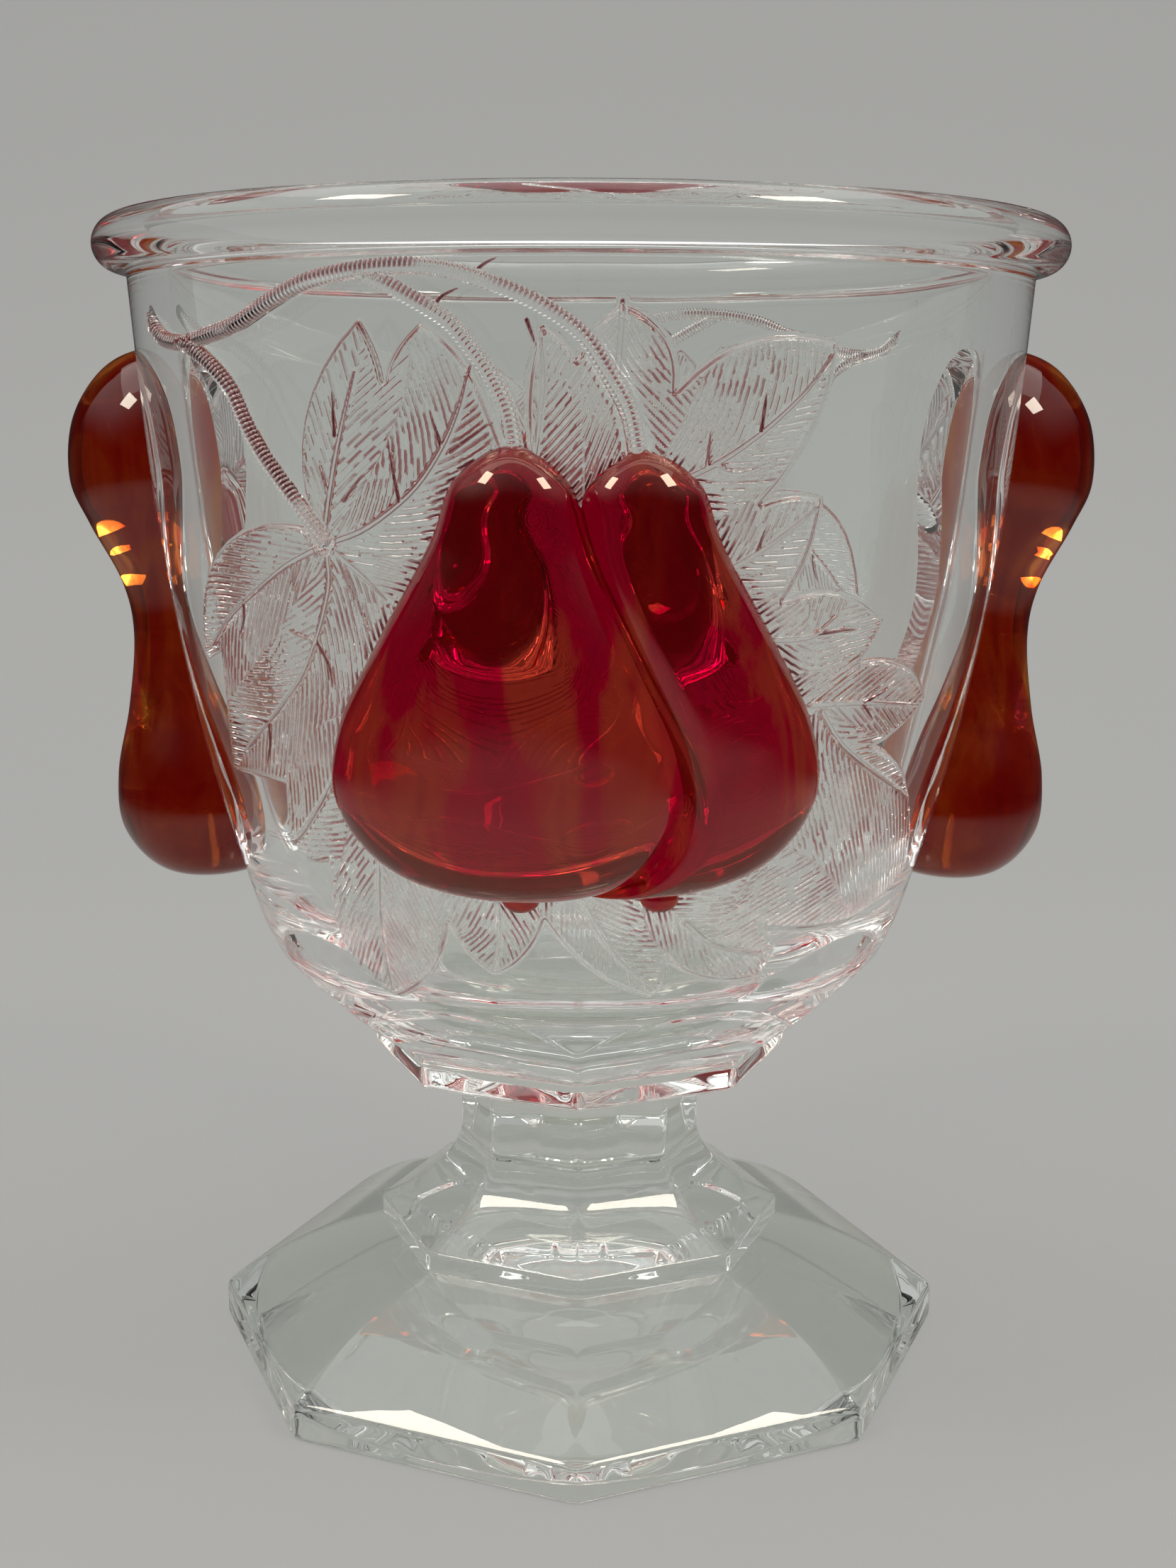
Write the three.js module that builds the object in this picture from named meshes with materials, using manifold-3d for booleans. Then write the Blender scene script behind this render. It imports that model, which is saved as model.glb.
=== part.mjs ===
// Footed candy jar in pressed clear glass: a round bowl with a rolled rim, an
// octagonal foot, two solid stained handles, and a pair of solid stained pears
// in relief on the front and on the back, among leaves and twigs.
// Millimetres, +Z up. The origin is the centre of the foot, on the table.
// The front, with its pears, looks along -Y, and the handles are at +X and -X.

import * as THREE from "three";
import { mergeVertices } from "three/addons/utils/BufferGeometryUtils.js";
import Module from "manifold-3d";

const wasm = await Module();
wasm.setup();

// Driving dimensions

// Foot, an eight-sided plinth with sloping facets and a dished underside
const footCorner = 42.6; // radius to the corners
const footEdgeHeight = 3.85; // upright side faces
const footCrown = 1.1; // how far the sloping facets bulge over a straight line
const footRing = 6.6; // flat ring that the jar stands on, at a corner
const dishDepth = 7.5; // round hollow inside that ring

// Step and flare that carry the stem
const stepCorner = 23.7;
const stepBottom = 13.0;
const stepHeight = 2.15;
const flareHeight = 8.65;
const flareHollow = 1.7; // how far the flare's faces are drawn in

// Stem and collar
const stemCorner = 14.1;
const stemHeight = 10.7;
const collarCorner = 24.1;
const collarHeight = 2.9;

// Bowl, with wall heights counted from its underside
const bowlHeight = 84.2;
const mouthRadius = 48.6; // outside of the wall under the rim
const bellyRadius = 45.5; // outside, three fifths of the way up
const hipRadius = 38.0; // outside, a quarter of the way up
const wall = 4.4;
const floorThickness = 6.8;
const facetSpread = 1.252; // corner radius gained per mm of height

// Rolled rim and the seat inside it
const rimOverhang = 3.4; // how far the roll stands out from the wall
const rimRoll = 2.7; // radius of the roll
const seatWidth = 2.4; // flat ledge on the wall's top, inside the rim
const rimRebate = 0.6; // how deep the rim is let into the wall's top, outside the ledge

// Pears
const pearShare = 0.508; // height, as a share of the bowl's
const pearStartShare = 0.299; // from the bowl's underside up to the pears, likewise
const pearWidth = 16.9; // largest radius, across the bowl
const pearDepth = 0.62; // depth of the round, as a share of its width
const pearTurn = 8.4; // degrees from the middle of the front
const overPearSink = -0.6; // the pear on top: how far its axis lies inside the wall
const underPearSink = 1.2; // the same for the pear behind it
const shadowDepth = 2.2; // depth given to the top pear where it cuts the other away
const calyxRadius = 1.4;
const calyxWidth = 1.35; // width, as a share of its height

// Handles
const handleLength = 59.4;
const handleBulb = 11.2;
const handleWaist = 6.7;
const handleWidth = 1.08; // tangential width, as a share of the round
const handleDrop = 7.1; // from the mouth down to the handle's top
const handleTopSink = 1.1; // how far the handle's axis lies inside the wall, at its top
const handleFootStand = 3.6; // and how far it stands off the wall at its foot

// Leaves and twigs
const leafRise = 0.75;
const twigRadius = 0.8;
const twigSink = 0.45; // how far a twig's round is sunk into the wall
const clearance = 0.3; // between glass members that meet on a curve

// How fine the round surfaces are
const aroundBowl = 48;
const aroundFruit = 24;

// Derived heights
const stepTop = stepBottom + stepHeight;
const stemBottom = stepTop + flareHeight;
const collarBottom = stemBottom + stemHeight;
const bowlBottom = collarBottom + collarHeight;
const bowlTop = bowlBottom + bowlHeight;
const floorTop = bowlBottom + floorThickness;
const dishRadius = footCorner - footRing;
const rimRadius = mouthRadius + rimOverhang;
const seatRadius = mouthRadius - wall + seatWidth;
const pearHeight = bowlHeight * pearShare;
const pearFoot = bowlBottom + bowlHeight * pearStartShare;

// Solids

function toSolid(geometry) {
  const bare = geometry.index ? geometry.toNonIndexed() : geometry.clone();
  bare.deleteAttribute("normal");
  bare.deleteAttribute("uv");
  const merged = mergeVertices(bare, 1e-4);
  const triVerts = new Uint32Array(merged.index.array);
  const vertProperties = new Float32Array(merged.attributes.position.array);
  return new wasm.Manifold(new wasm.Mesh({ numProp: 3, vertProperties, triVerts }));
}

function toGeometry(solid) {
  const mesh = solid.getMesh();
  const geometry = new THREE.BufferGeometry();
  geometry.setAttribute("position", new THREE.BufferAttribute(mesh.vertProperties, 3));
  geometry.setIndex(new THREE.BufferAttribute(mesh.triVerts, 1));
  geometry.computeVertexNormals();
  return geometry;
}

// A profile of [radius, height] pairs turned about the Z axis. Eight segments
// give an octagon with one corner at the front.
function turned(profile, segments) {
  const points = profile.map(([radius, height]) => new THREE.Vector2(radius, height));
  return new THREE.LatheGeometry(points, segments).rotateX(Math.PI / 2);
}

function curveThrough(points, steps) {
  const curve = new THREE.SplineCurve(points.map(([x, y]) => new THREE.Vector2(x, y)));
  return curve.getPoints(steps).map((point) => [point.x, point.y]);
}

// Bowl wall

// Outside of the round wall, from the collar up to the mouth
const wallCurve = curveThrough(
  [
    [hipRadius * 0.7, bowlBottom],
    [hipRadius * 0.83, bowlBottom + bowlHeight * 0.07],
    [hipRadius * 0.93, bowlBottom + bowlHeight * 0.144],
    [hipRadius, bowlBottom + bowlHeight * 0.232],
    [hipRadius + (bellyRadius - hipRadius) * 0.57, bowlBottom + bowlHeight * 0.416],
    [bellyRadius, bowlBottom + bowlHeight * 0.618],
    [(bellyRadius + mouthRadius) / 2, bowlBottom + bowlHeight * 0.772],
    [mouthRadius, bowlTop],
  ],
  16,
);

function wallRadius(height) {
  const last = wallCurve.length - 1;
  let i = 0;
  while (i < last - 1 && wallCurve[i + 1][1] < height) {
    i += 1;
  }
  const [r0, z0] = wallCurve[i];
  const [r1, z1] = wallCurve[i + 1];
  return r0 + ((r1 - r0) * (height - z0)) / (z1 - z0);
}

// The solid inside the wall's outer face, moved out by an offset
function wallEnvelope(offset) {
  const shifted = wallCurve.map(([radius, height]) => [radius + offset, height]);
  const low = wallCurve[0];
  return toSolid(turned([[0, low[1]], ...shifted, [0, bowlTop]], aroundBowl));
}

// A place inside the wall, at a share of the depth, and so many walls thick
function insideWall(share, walls) {
  const height = floorTop + (bowlTop - floorTop) * share;
  return [wallRadius(height) - wall * walls, height];
}

function bowlSolid() {
  const depth = bowlTop - floorTop;
  const inside = curveThrough(
    [
      [0, floorTop],
      [hipRadius * 0.42, floorTop + depth * 0.012],
      [hipRadius * 0.685, floorTop + depth * 0.054],
      insideWall(0.123, 1.36),
      insideWall(0.258, 1.07),
      insideWall(0.543, 1),
      insideWall(0.82, 1),
      [mouthRadius - wall, bowlTop],
    ],
    11,
  );
  const round = toSolid(turned([[0, bowlBottom], ...wallCurve, ...inside.reverse()], aroundBowl));
  const rebateBottom = bowlTop - rimRebate;
  const rebate = toSolid(
    turned(
      [
        [seatRadius, rebateBottom],
        [mouthRadius + 1, rebateBottom],
        [mouthRadius + 1, bowlTop + 1],
        [seatRadius, bowlTop + 1],
        [seatRadius, rebateBottom],
      ],
      aroundBowl,
    ),
  );
  // Eight flat facets, cut by the octagonal cone that grows out of the collar
  const coneTop = collarCorner + facetSpread * bowlHeight;
  const cone = toSolid(turned([[0, bowlBottom], [collarCorner, bowlBottom], [coneTop, bowlTop], [0, bowlTop]], 8));
  return round.intersect(cone).subtract(rebate);
}

function rimSolid() {
  const centre = rimRadius - rimRoll;
  const top = bowlTop + 2 * rimRoll;
  const foot = [seatRadius, bowlTop - rimRebate];
  const profile = [foot, [mouthRadius, bowlTop - rimRebate]];
  const turns = 6;
  for (let i = 0; i <= turns; i += 1) {
    const angle = -Math.PI / 2 + (Math.PI * i) / turns;
    profile.push([centre + rimRoll * Math.cos(angle), bowlTop + rimRoll + rimRoll * Math.sin(angle)]);
  }
  // The roll's inner side falls to the seat over an eased edge
  profile.push([seatRadius + rimRoll * 0.33, top - rimRoll * 0.19]);
  profile.push([seatRadius, top - rimRoll * 0.6]);
  profile.push(foot);
  return toSolid(turned(profile, aroundBowl));
}

// Foot, step, stem and collar

function footSolid() {
  const slope = new THREE.QuadraticBezierCurve(
    new THREE.Vector2(footCorner, footEdgeHeight),
    new THREE.Vector2((footCorner + stepCorner) / 2 + footCrown, (footEdgeHeight + stepBottom) / 2 + 2 * footCrown),
    new THREE.Vector2(stepCorner, stepBottom),
  );
  const facets = slope.getPoints(6).map((point) => [point.x, point.y]);
  const body = toSolid(turned([[0, 0], [footCorner, 0], ...facets, [0, stepBottom]], 8));
  // The dish is the cap of a sphere, of the radius that its width and depth give
  const sphere = (dishRadius ** 2 + dishDepth ** 2) / (2 * dishDepth);
  const cap = [];
  const rings = 6;
  for (let i = 0; i <= rings; i += 1) {
    const radius = (dishRadius * (rings - i)) / rings;
    cap.push([radius, Math.sqrt(sphere ** 2 - radius ** 2) - sphere + dishDepth]);
  }
  const dish = toSolid(turned([[0, -1], [dishRadius, -1], ...cap], 48));
  return body.subtract(dish);
}

function stepSolid() {
  const flare = new THREE.QuadraticBezierCurve(
    new THREE.Vector2(stepCorner, stepTop),
    new THREE.Vector2(stemCorner + flareHollow, stepTop + flareHeight / 2 - flareHollow / 2),
    new THREE.Vector2(stemCorner, stemBottom),
  );
  const faces = flare.getPoints(7).map((point) => [point.x, point.y]);
  return toSolid(turned([[0, stepBottom], [stepCorner, stepBottom], ...faces, [0, stemBottom]], 8));
}

function prismSolid(corner, bottom, height) {
  return toSolid(turned([[0, bottom], [corner, bottom], [corner, bottom + height], [0, bottom + height]], 8));
}

// Pears and handles are solids of revolution about an axis that lies along the
// wall. The wall then cuts off the half that would reach into the bowl.

function fruit(profile, scaleDepth, scaleWidth, top, foot) {
  const points = profile.map(([radius, along]) => new THREE.Vector2(radius, along));
  const geometry = new THREE.LatheGeometry(points, aroundFruit).rotateX(Math.PI / 2);
  geometry.scale(scaleWidth, scaleDepth, 1);
  const up = new THREE.Vector3().subVectors(top, foot).normalize();
  const middle = new THREE.Vector3().addVectors(top, foot).multiplyScalar(0.5);
  const tangent = new THREE.Vector3(-middle.y, middle.x, 0).normalize();
  const inward = new THREE.Vector3().crossVectors(up, tangent).normalize();
  const placed = new THREE.Matrix4().makeBasis(tangent, inward, up);
  placed.setPosition(foot);
  return geometry.applyMatrix4(placed);
}

// Height of a place on the relief, from hundredths of the bowl's height
function reliefLevel(percent) {
  return bowlBottom + (bowlHeight * percent) / 100;
}

function onWall(degrees, height, offset = 0) {
  const angle = THREE.MathUtils.degToRad(degrees);
  const radius = wallRadius(height) + offset;
  return new THREE.Vector3(radius * Math.sin(angle), -radius * Math.cos(angle), height);
}

const pearTop = pearFoot + pearHeight;

function pearBody(turn, sink, grow = 0, depth = pearDepth) {
  const shape = curveThrough(
    [
      [0, 0],
      [pearWidth * 0.66, pearHeight * 0.05],
      [pearWidth * 0.98, pearHeight * 0.2],
      [pearWidth * 0.95, pearHeight * 0.38],
      [pearWidth * 0.71, pearHeight * 0.585],
      [pearWidth * 0.44, pearHeight * 0.79],
      [pearWidth * 0.3, pearHeight * 0.93],
      [0, pearHeight],
    ],
    12,
  );
  const grown = shape.map(([radius, along], i) => {
    const end = i === 0 ? -grow : i === shape.length - 1 ? grow : 0;
    return [i === 0 || i === shape.length - 1 ? 0 : radius + grow, along + end];
  });
  const foot = onWall(turn, pearFoot, -sink);
  const top = onWall(turn, pearTop, -sink);
  return toSolid(fruit(grown, depth, 1, top, foot));
}

function calyxBody(turn, grow) {
  const centre = onWall(turn, pearFoot, calyxRadius / 3);
  const geometry = new THREE.SphereGeometry(calyxRadius + grow, 12, 6);
  geometry.scale(calyxWidth, 1, 1);
  geometry.rotateZ(THREE.MathUtils.degToRad(turn));
  geometry.translate(centre.x, centre.y, centre.z);
  return toSolid(geometry);
}

function handleBody(side) {
  const profile = curveThrough(
    [
      [0, 0],
      [handleBulb * 0.62, handleLength * 0.025],
      [handleBulb * 0.95, handleLength * 0.11],
      [handleBulb * 0.94, handleLength * 0.217],
      [handleBulb * 0.74, handleLength * 0.343],
      [handleWaist, handleLength * 0.477],
      [handleBulb * 0.64, handleLength * 0.577],
      [handleBulb * 0.87, handleLength * 0.69],
      [handleBulb, handleLength * 0.778],
      [handleBulb * 0.88, handleLength * 0.89],
      [handleBulb * 0.5, handleLength * 0.975],
      [0, handleLength],
    ],
    18,
  );
  const topHeight = bowlTop - handleDrop;
  const footHeight = topHeight - handleLength;
  const top = new THREE.Vector3(side * (wallRadius(topHeight) - handleTopSink), 0, topHeight);
  const foot = new THREE.Vector3(side * (wallRadius(footHeight) + handleFootStand), 0, footHeight);
  return toSolid(fruit(profile, 1, handleWidth, top, foot));
}

// Twigs, as azimuth in degrees and height in hundredths of the bowl's. Two run
// down into the tops of the pears, and the other one to where the leaves meet.

const rightStalk = [
  [-62, 94.5], [-58.5, 91.7], [-53.5, 91.2], [-43.3, 92.5], [-36, 95.7], [-28.5, 97.6],
  [-17, 98], [-8, 96.2], [-1, 92.9], [3, 88.1], [6, 79.1],
];
const leftStalk = [[-24, 97.7], [-19, 96.2], [-13.6, 92.9], [-10, 88.8], [-6.6, 79.1]];
const leafTwig = [[-55, 91.3], [-48.4, 89.1], [-42.9, 85.5], [-40.2, 80.8], [-37.4, 77], [-34, 73.6], [-29.6, 68.6]];

function twigBody(grow) {
  let body = null;
  for (const places of [rightStalk, leftStalk, leafTwig]) {
    const middle = twigRadius - twigSink;
    const points = places.map(([degrees, percent]) => onWall(degrees, reliefLevel(percent), middle));
    const curve = new THREE.CatmullRomCurve3(points, false, "centripetal");
    const section = new THREE.Shape().absarc(0, 0, twigRadius + grow, 0, 2 * Math.PI);
    const options = { steps: points.length * 2, extrudePath: curve, bevelEnabled: false, curveSegments: 3 };
    const tube = toSolid(new THREE.ExtrudeGeometry(section, options));
    body = body ? body.add(tube) : tube;
  }
  return body;
}

// Leaf sprays: outlines seen from the front, cut from a thin layer on the wall.
// Each entry is a tip or a notch between leaves, and the bend that leads to it,
// all as azimuth in degrees and height in hundredths of the bowl's.

const leftSpray = [
  { at: [-31.5, 70.8] },
  { bend: [-35.5, 83.1], at: [-23.6, 93.1] },
  { bend: [-21.3, 89.7], at: [-20.9, 86.6] },
  { bend: [-20.2, 89.7], at: [-16.7, 92.4] },
  { bend: [-13, 90.9], at: [-10.8, 86.7] },
  { bend: [-8.5, 81.9], at: [-8, 76] },
  { bend: [-20, 59.4], at: [-24, 47.5] },
  { bend: [-27, 38], at: [-32, 33.8] },
  { bend: [-37, 30.4], at: [-42.5, 30.4] },
  { bend: [-46.5, 32.1], at: [-43.2, 40.3] },
  { bend: [-50, 40.6], at: [-57, 40] },
  { bend: [-54, 47.5], at: [-52.5, 55.3] },
  { bend: [-55, 54.6], at: [-57.8, 53.8] },
  { bend: [-55, 67.7], at: [-40, 70.8] },
  { bend: [-36, 71.5], at: [-31.5, 70.8] },
];

const bottomSpray = [
  { at: [-37.5, 29.2] },
  { bend: [-44, 17.8], at: [-31.2, 14] },
  { bend: [-21, 17.2], at: [-18.9, 25.2] },
  { bend: [-17.5, 20.9], at: [-12.6, 18.8] },
  { bend: [-7, 20.4], at: [-4.6, 26.2] },
  { bend: [1.5, 17.8], at: [11.5, 16] },
  { bend: [14, 17.2], at: [13.8, 20.4] },
  { bend: [21, 16.2], at: [30, 17.3] },
  { bend: [33, 21.6], at: [28.4, 23.5] },
  { bend: [26.5, 26.7], at: [25, 33.8] },
  { bend: [0, 42.8], at: [-29, 32.1] },
  { bend: [-34, 28.7], at: [-37.5, 29.2] },
];

const rightSpray = [
  { at: [-5, 78.4] },
  { bend: [-6.2, 85.5], at: [-3.8, 92.2] },
  { bend: [-1.4, 91], at: [-0.2, 88.8] },
  { bend: [1.2, 92.6], at: [4.6, 94.3] },
  { bend: [10.8, 91.9], at: [10.3, 85.7] },
  { bend: [17.5, 93.6], at: [28.6, 90.6] },
  { bend: [28.5, 81.9], at: [20.6, 73.9] },
  { bend: [24.5, 75.3], at: [28.1, 74.2] },
  { bend: [27.5, 67.7], at: [24.2, 63.3] },
  { bend: [32, 66], at: [39.8, 60.3] },
  { bend: [38.6, 57.5], at: [37, 55.8] },
  { bend: [46, 56.5], at: [51.7, 50.1] },
  { bend: [48.8, 46.8], at: [45.9, 45.8] },
  { bend: [54, 45.1], at: [58, 36.2] },
  { bend: [50, 35.6], at: [40, 36.8] },
  { bend: [34, 36.2], at: [28, 37.4] },
  { bend: [22, 61.8], at: [8, 76] },
  { bend: [0, 80.8], at: [-5, 78.4] },
];

function frontView([degrees, percent]) {
  const point = onWall(degrees, reliefLevel(percent));
  return new THREE.Vector2(point.x, point.z);
}

function sprayBody(outline) {
  const shape = new THREE.Shape();
  const start = frontView(outline[0].at);
  shape.moveTo(start.x, start.y);
  for (const { bend, at } of outline.slice(1)) {
    const control = frontView(bend);
    const end = frontView(at);
    shape.quadraticCurveTo(control.x, control.y, end.x, end.y);
  }
  const depth = mouthRadius * 1.1;
  const block = new THREE.ExtrudeGeometry(shape, { depth, bevelEnabled: false, curveSegments: 3 });
  return toSolid(block.rotateX(Math.PI / 2));
}

// Scene graph

function glass(color, roughness) {
  return new THREE.MeshStandardMaterial({ color, roughness, metalness: 0 });
}

const jar = new THREE.Group();

function place(name, solid, color, roughness = 0.05, turn = 0) {
  const mesh = new THREE.Mesh(toGeometry(solid), glass(color, roughness));
  mesh.name = name;
  mesh.rotation.z = turn;
  jar.add(mesh);
}

const clear = 0xdfe5e0;
const ruby = 0x9c1420;
const amberRuby = 0xa33a12;

place("foot", footSolid(), clear);
place("foot_step", stepSolid(), clear);
place("stem", prismSolid(stemCorner, stemBottom, stemHeight), clear);
place("collar", prismSolid(collarCorner, collarBottom, collarHeight), clear);
place("bowl", bowlSolid(), clear);
place("rim", rimSolid(), clear);

const bowlCut = wallEnvelope(clearance);
place("handle_right", handleBody(1).subtract(bowlCut), amberRuby);
place("handle_left", handleBody(-1).subtract(bowlCut), amberRuby);

// The relief is worked out once and stands on the front and, half a turn
// round, on the back. The left pear lies over the right one.
const leafLayer = wallEnvelope(clearance + leafRise).subtract(bowlCut);
const pearLeft = pearBody(-pearTurn, overPearSink).subtract(bowlCut);
const pearShadow = pearBody(-pearTurn, overPearSink, clearance, shadowDepth);
const pearRight = pearBody(pearTurn, underPearSink).subtract(bowlCut).subtract(pearShadow);
const pearsGrown = pearBody(-pearTurn, overPearSink, clearance).add(
  pearBody(pearTurn, underPearSink, clearance),
);
const calyxTurn = pearTurn + 1.6;
const calyxes = [-calyxTurn, calyxTurn].map((turn) => calyxBody(turn, 0).subtract(bowlCut).subtract(pearsGrown));
const calyxesGrown = calyxBody(-calyxTurn, clearance).add(calyxBody(calyxTurn, clearance));
const twigs = twigBody(0).subtract(bowlCut).subtract(pearsGrown);
const cutter = pearsGrown.add(twigBody(clearance)).add(calyxesGrown);
const sprays = [leftSpray, rightSpray, bottomSpray].map((outline) =>
  sprayBody(outline).intersect(leafLayer).subtract(cutter),
);

for (const [side, turn] of [["front", 0], ["back", Math.PI]]) {
  place(`${side}_pear_left`, pearLeft, ruby, 0.05, turn);
  place(`${side}_pear_right`, pearRight, ruby, 0.05, turn);
  place(`${side}_calyx_left`, calyxes[0], ruby, 0.05, turn);
  place(`${side}_calyx_right`, calyxes[1], ruby, 0.05, turn);
  place(`${side}_twigs`, twigs, clear, 0.1, turn);
  place(`${side}_leaves_left`, sprays[0], clear, 0.2, turn);
  place(`${side}_leaves_right`, sprays[1], clear, 0.2, turn);
  place(`${side}_leaves_bottom`, sprays[2], clear, 0.2, turn);
}

export default jar;
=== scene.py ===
# %% [markdown]
# # A footed candy jar in pressed glass
#
# The jar is one pressing of clear glass. Its handles and its pears are stained ruby and amber on
# their outer faces only, and everything else stays clear. Clear glass shows each flaw in a mesh,
# because light is bent by every face, so this lesson makes each member as one smooth surface.
#
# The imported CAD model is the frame. Every piece below is worked out with numpy in millimetres, in
# the CAD model's own axes, and turned to metres only where it becomes a mesh.

# %% Load the frame
import math

import bpy
import numpy as np
from mathutils import Matrix


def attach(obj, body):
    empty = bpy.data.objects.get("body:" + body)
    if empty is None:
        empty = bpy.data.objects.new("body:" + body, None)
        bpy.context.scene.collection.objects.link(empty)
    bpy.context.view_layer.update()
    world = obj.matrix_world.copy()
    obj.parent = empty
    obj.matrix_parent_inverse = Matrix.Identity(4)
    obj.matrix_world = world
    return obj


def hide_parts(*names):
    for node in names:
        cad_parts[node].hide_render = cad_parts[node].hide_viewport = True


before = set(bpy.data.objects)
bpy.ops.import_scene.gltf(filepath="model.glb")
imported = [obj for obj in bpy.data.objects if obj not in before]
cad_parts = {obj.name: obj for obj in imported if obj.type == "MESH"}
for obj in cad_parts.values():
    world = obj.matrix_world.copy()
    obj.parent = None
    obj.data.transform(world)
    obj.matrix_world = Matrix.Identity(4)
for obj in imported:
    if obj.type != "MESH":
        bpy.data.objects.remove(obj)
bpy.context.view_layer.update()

MM = 0.001

# %% [markdown]
# ## Curves and surfaces
#
# Two tools draw every outline here. A Catmull-Rom curve passes through all of its points, which
# suits forms that were measured. A filleted outline is straight between its corners and rounds
# each of them, which suits glass: fire polishing leaves no sharp edge on a pressing.


# %% Draw outlines
def step_up(value, low, high):
    """Smooth step from 0 to 1 between two values: 3t^2 - 2t^3."""
    t = np.clip((value - low) / (high - low), 0, 1)
    return t * t * (3 - 2 * t)


def smooth_curve(points, count, poles=False):
    """Catmull-Rom curve. Each stretch is the cubic whose slope at a point is half the step from
    the point before it to the point after it. At an end, the end point stands in for the missing
    one; or, at a pole, its neighbour mirrored in the axis does, which rounds the end."""
    p = np.asarray(points, float)
    mirror = np.array([-1.0, 1.0])
    first, last = (p[1] * mirror, p[-2] * mirror) if poles else (p[0], p[-1])
    t = np.linspace(0, len(p) - 1, count)
    i = np.minimum(t.astype(int), len(p) - 2)
    w = (t - i)[:, None]
    p = np.concatenate([first[None], p, last[None]])
    a, b, c, d = p[i], p[i + 1], p[i + 2], p[i + 3]
    return b + 0.5 * w * (c - a + w * (2 * a - 5 * b + 4 * c - d + w * (3 * (b - c) + d - a)))


def bend(start, control, end, count):
    """Quadratic curve: (1-t)^2 of the start, 2t(1-t) of the control point and t^2 of the end."""
    t = np.linspace(0, 1, count)[:, None]
    a, b, c = (np.asarray(p, float) for p in (start, control, end))
    return a * (1 - t) ** 2 + 2 * b * t * (1 - t) + c * t**2


def fillet(corners, steps=6, support=0.3):
    """Outline through (radius, height, round) corners. A corner is replaced by a quadratic curve
    that leaves and joins its two sides at a distance `round` from it, and one more point stands
    `support` beyond each end, so that smooth shading keeps the flats flat."""
    corners = np.asarray(corners, float)
    outline = [corners[:1, :2]]
    for before, here, after in zip(corners[:-2], corners[1:-1], corners[2:]):
        p = here[:2]
        to_before, to_after = before[:2] - p, after[:2] - p
        room_before, room_after = np.hypot(*to_before), np.hypot(*to_after)
        reach = min(here[2], 0.45 * room_before, 0.45 * room_after)
        a, b = p + to_before / room_before * reach, p + to_after / room_after * reach
        outer = min(reach + support, 0.48 * room_before), min(reach + support, 0.48 * room_after)
        outline.append(p[None] + to_before / room_before * outer[0])
        outline.append(bend(a, p, b, steps))
        outline.append(p[None] + to_after / room_after * outer[1])
    outline.append(corners[-1:, :2])
    return np.concatenate(outline)


# %% [markdown]
# ## The section of the jar
#
# Below the bowl the jar is an octagon with a corner at the front. The bowl itself is round, and
# eight flats are cut into its lower part by an octagonal cone. One rule covers all of it: at each
# height the radius is the lesser of a round one and an octagonal one. A height where only one of
# the two counts gives the other a value far outside the jar. A boolean cut would leave a jagged
# edge where the flats graze the round wall, and one rule leaves a clean one.
#
# Nearly all sizes from here on are the CAD model's own. The scene repeats them, so that a smooth
# surface lies where the faceted solid is. Heights count from the table, angles from the middle of
# the front, and all lengths are in millimetres.

# %% Name the bowl's sizes
BOWL_BOTTOM, BOWL_HEIGHT, BOWL_TOP = 37.4, 84.2, 121.6
HIP, BELLY, MOUTH = 38.0, 45.5, 48.6
print("bowl", BOWL_HEIGHT, "mm tall and", 2 * MOUTH, "mm across its mouth")

# %% Work out radii
FAR = 1000.0
EDGE_SOFTNESS = 0.2  # how far an upright edge is worn back, in mm
CREASE = 0.1  # width over which flat and round glass run together, in mm


def octagon(azimuth, corner):
    """Radius of an octagon with soft corners. A straight side lies where the cosine of the angle
    from its middle, times the radius, is constant. The eight cosines are joined by a high power
    mean, and the power sets how far the corners are worn back."""
    power = np.clip(0.693 * corner / EDGE_SOFTNESS, 8, 400)
    middles = np.radians(22.5 + 45 * np.arange(8))
    cosines = np.maximum(np.cos(azimuth[..., None] - middles), 1e-9)
    mean = (cosines ** power[..., None]).sum(-1) ** (1 / power)
    return corner * math.cos(math.pi / 8) / mean


def soft_least(a, b, width):
    """The lesser of two values, run together by a parabola where they differ by under `width`."""
    share = np.clip(0.5 + 0.5 * (b - a) / width, 0, 1)
    return b * (1 - share) + a * share - width * share * (1 - share)


WALL_POINTS = [
    [HIP * 0.7, BOWL_BOTTOM],
    [HIP * 0.83, BOWL_BOTTOM + BOWL_HEIGHT * 0.07],
    [HIP * 0.93, BOWL_BOTTOM + BOWL_HEIGHT * 0.144],
    [HIP, BOWL_BOTTOM + BOWL_HEIGHT * 0.232],
    [HIP + (BELLY - HIP) * 0.57, BOWL_BOTTOM + BOWL_HEIGHT * 0.416],
    [BELLY, BOWL_BOTTOM + BOWL_HEIGHT * 0.618],
    [(BELLY + MOUTH) / 2, BOWL_BOTTOM + BOWL_HEIGHT * 0.772],
    [MOUTH, BOWL_TOP],
]
wall_curve = smooth_curve(WALL_POINTS, 600)


def wall_radius(height):
    """Outside radius of the round wall, read off its curve at a height."""
    return np.interp(height, wall_curve[:, 1], wall_curve[:, 0])


# Columns crowd towards the eight upright edges, where the surface turns fast
SECTOR = 20
towards_middle = 22.5 * (np.arange(SECTOR) / SECTOR) ** 1.5
half = np.concatenate([towards_middle, [22.5], 45 - towards_middle[:0:-1]])
columns = np.radians((np.arange(8)[:, None] * 45 + half[None]).ravel())
print(len(columns), "columns round the jar")


def on_cylinder(radius, azimuth, height):
    """Point at a radius, an azimuth from the front and a height."""
    return np.stack([radius * np.sin(azimuth), -radius * np.cos(azimuth), height + 0 * radius], -1)


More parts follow.
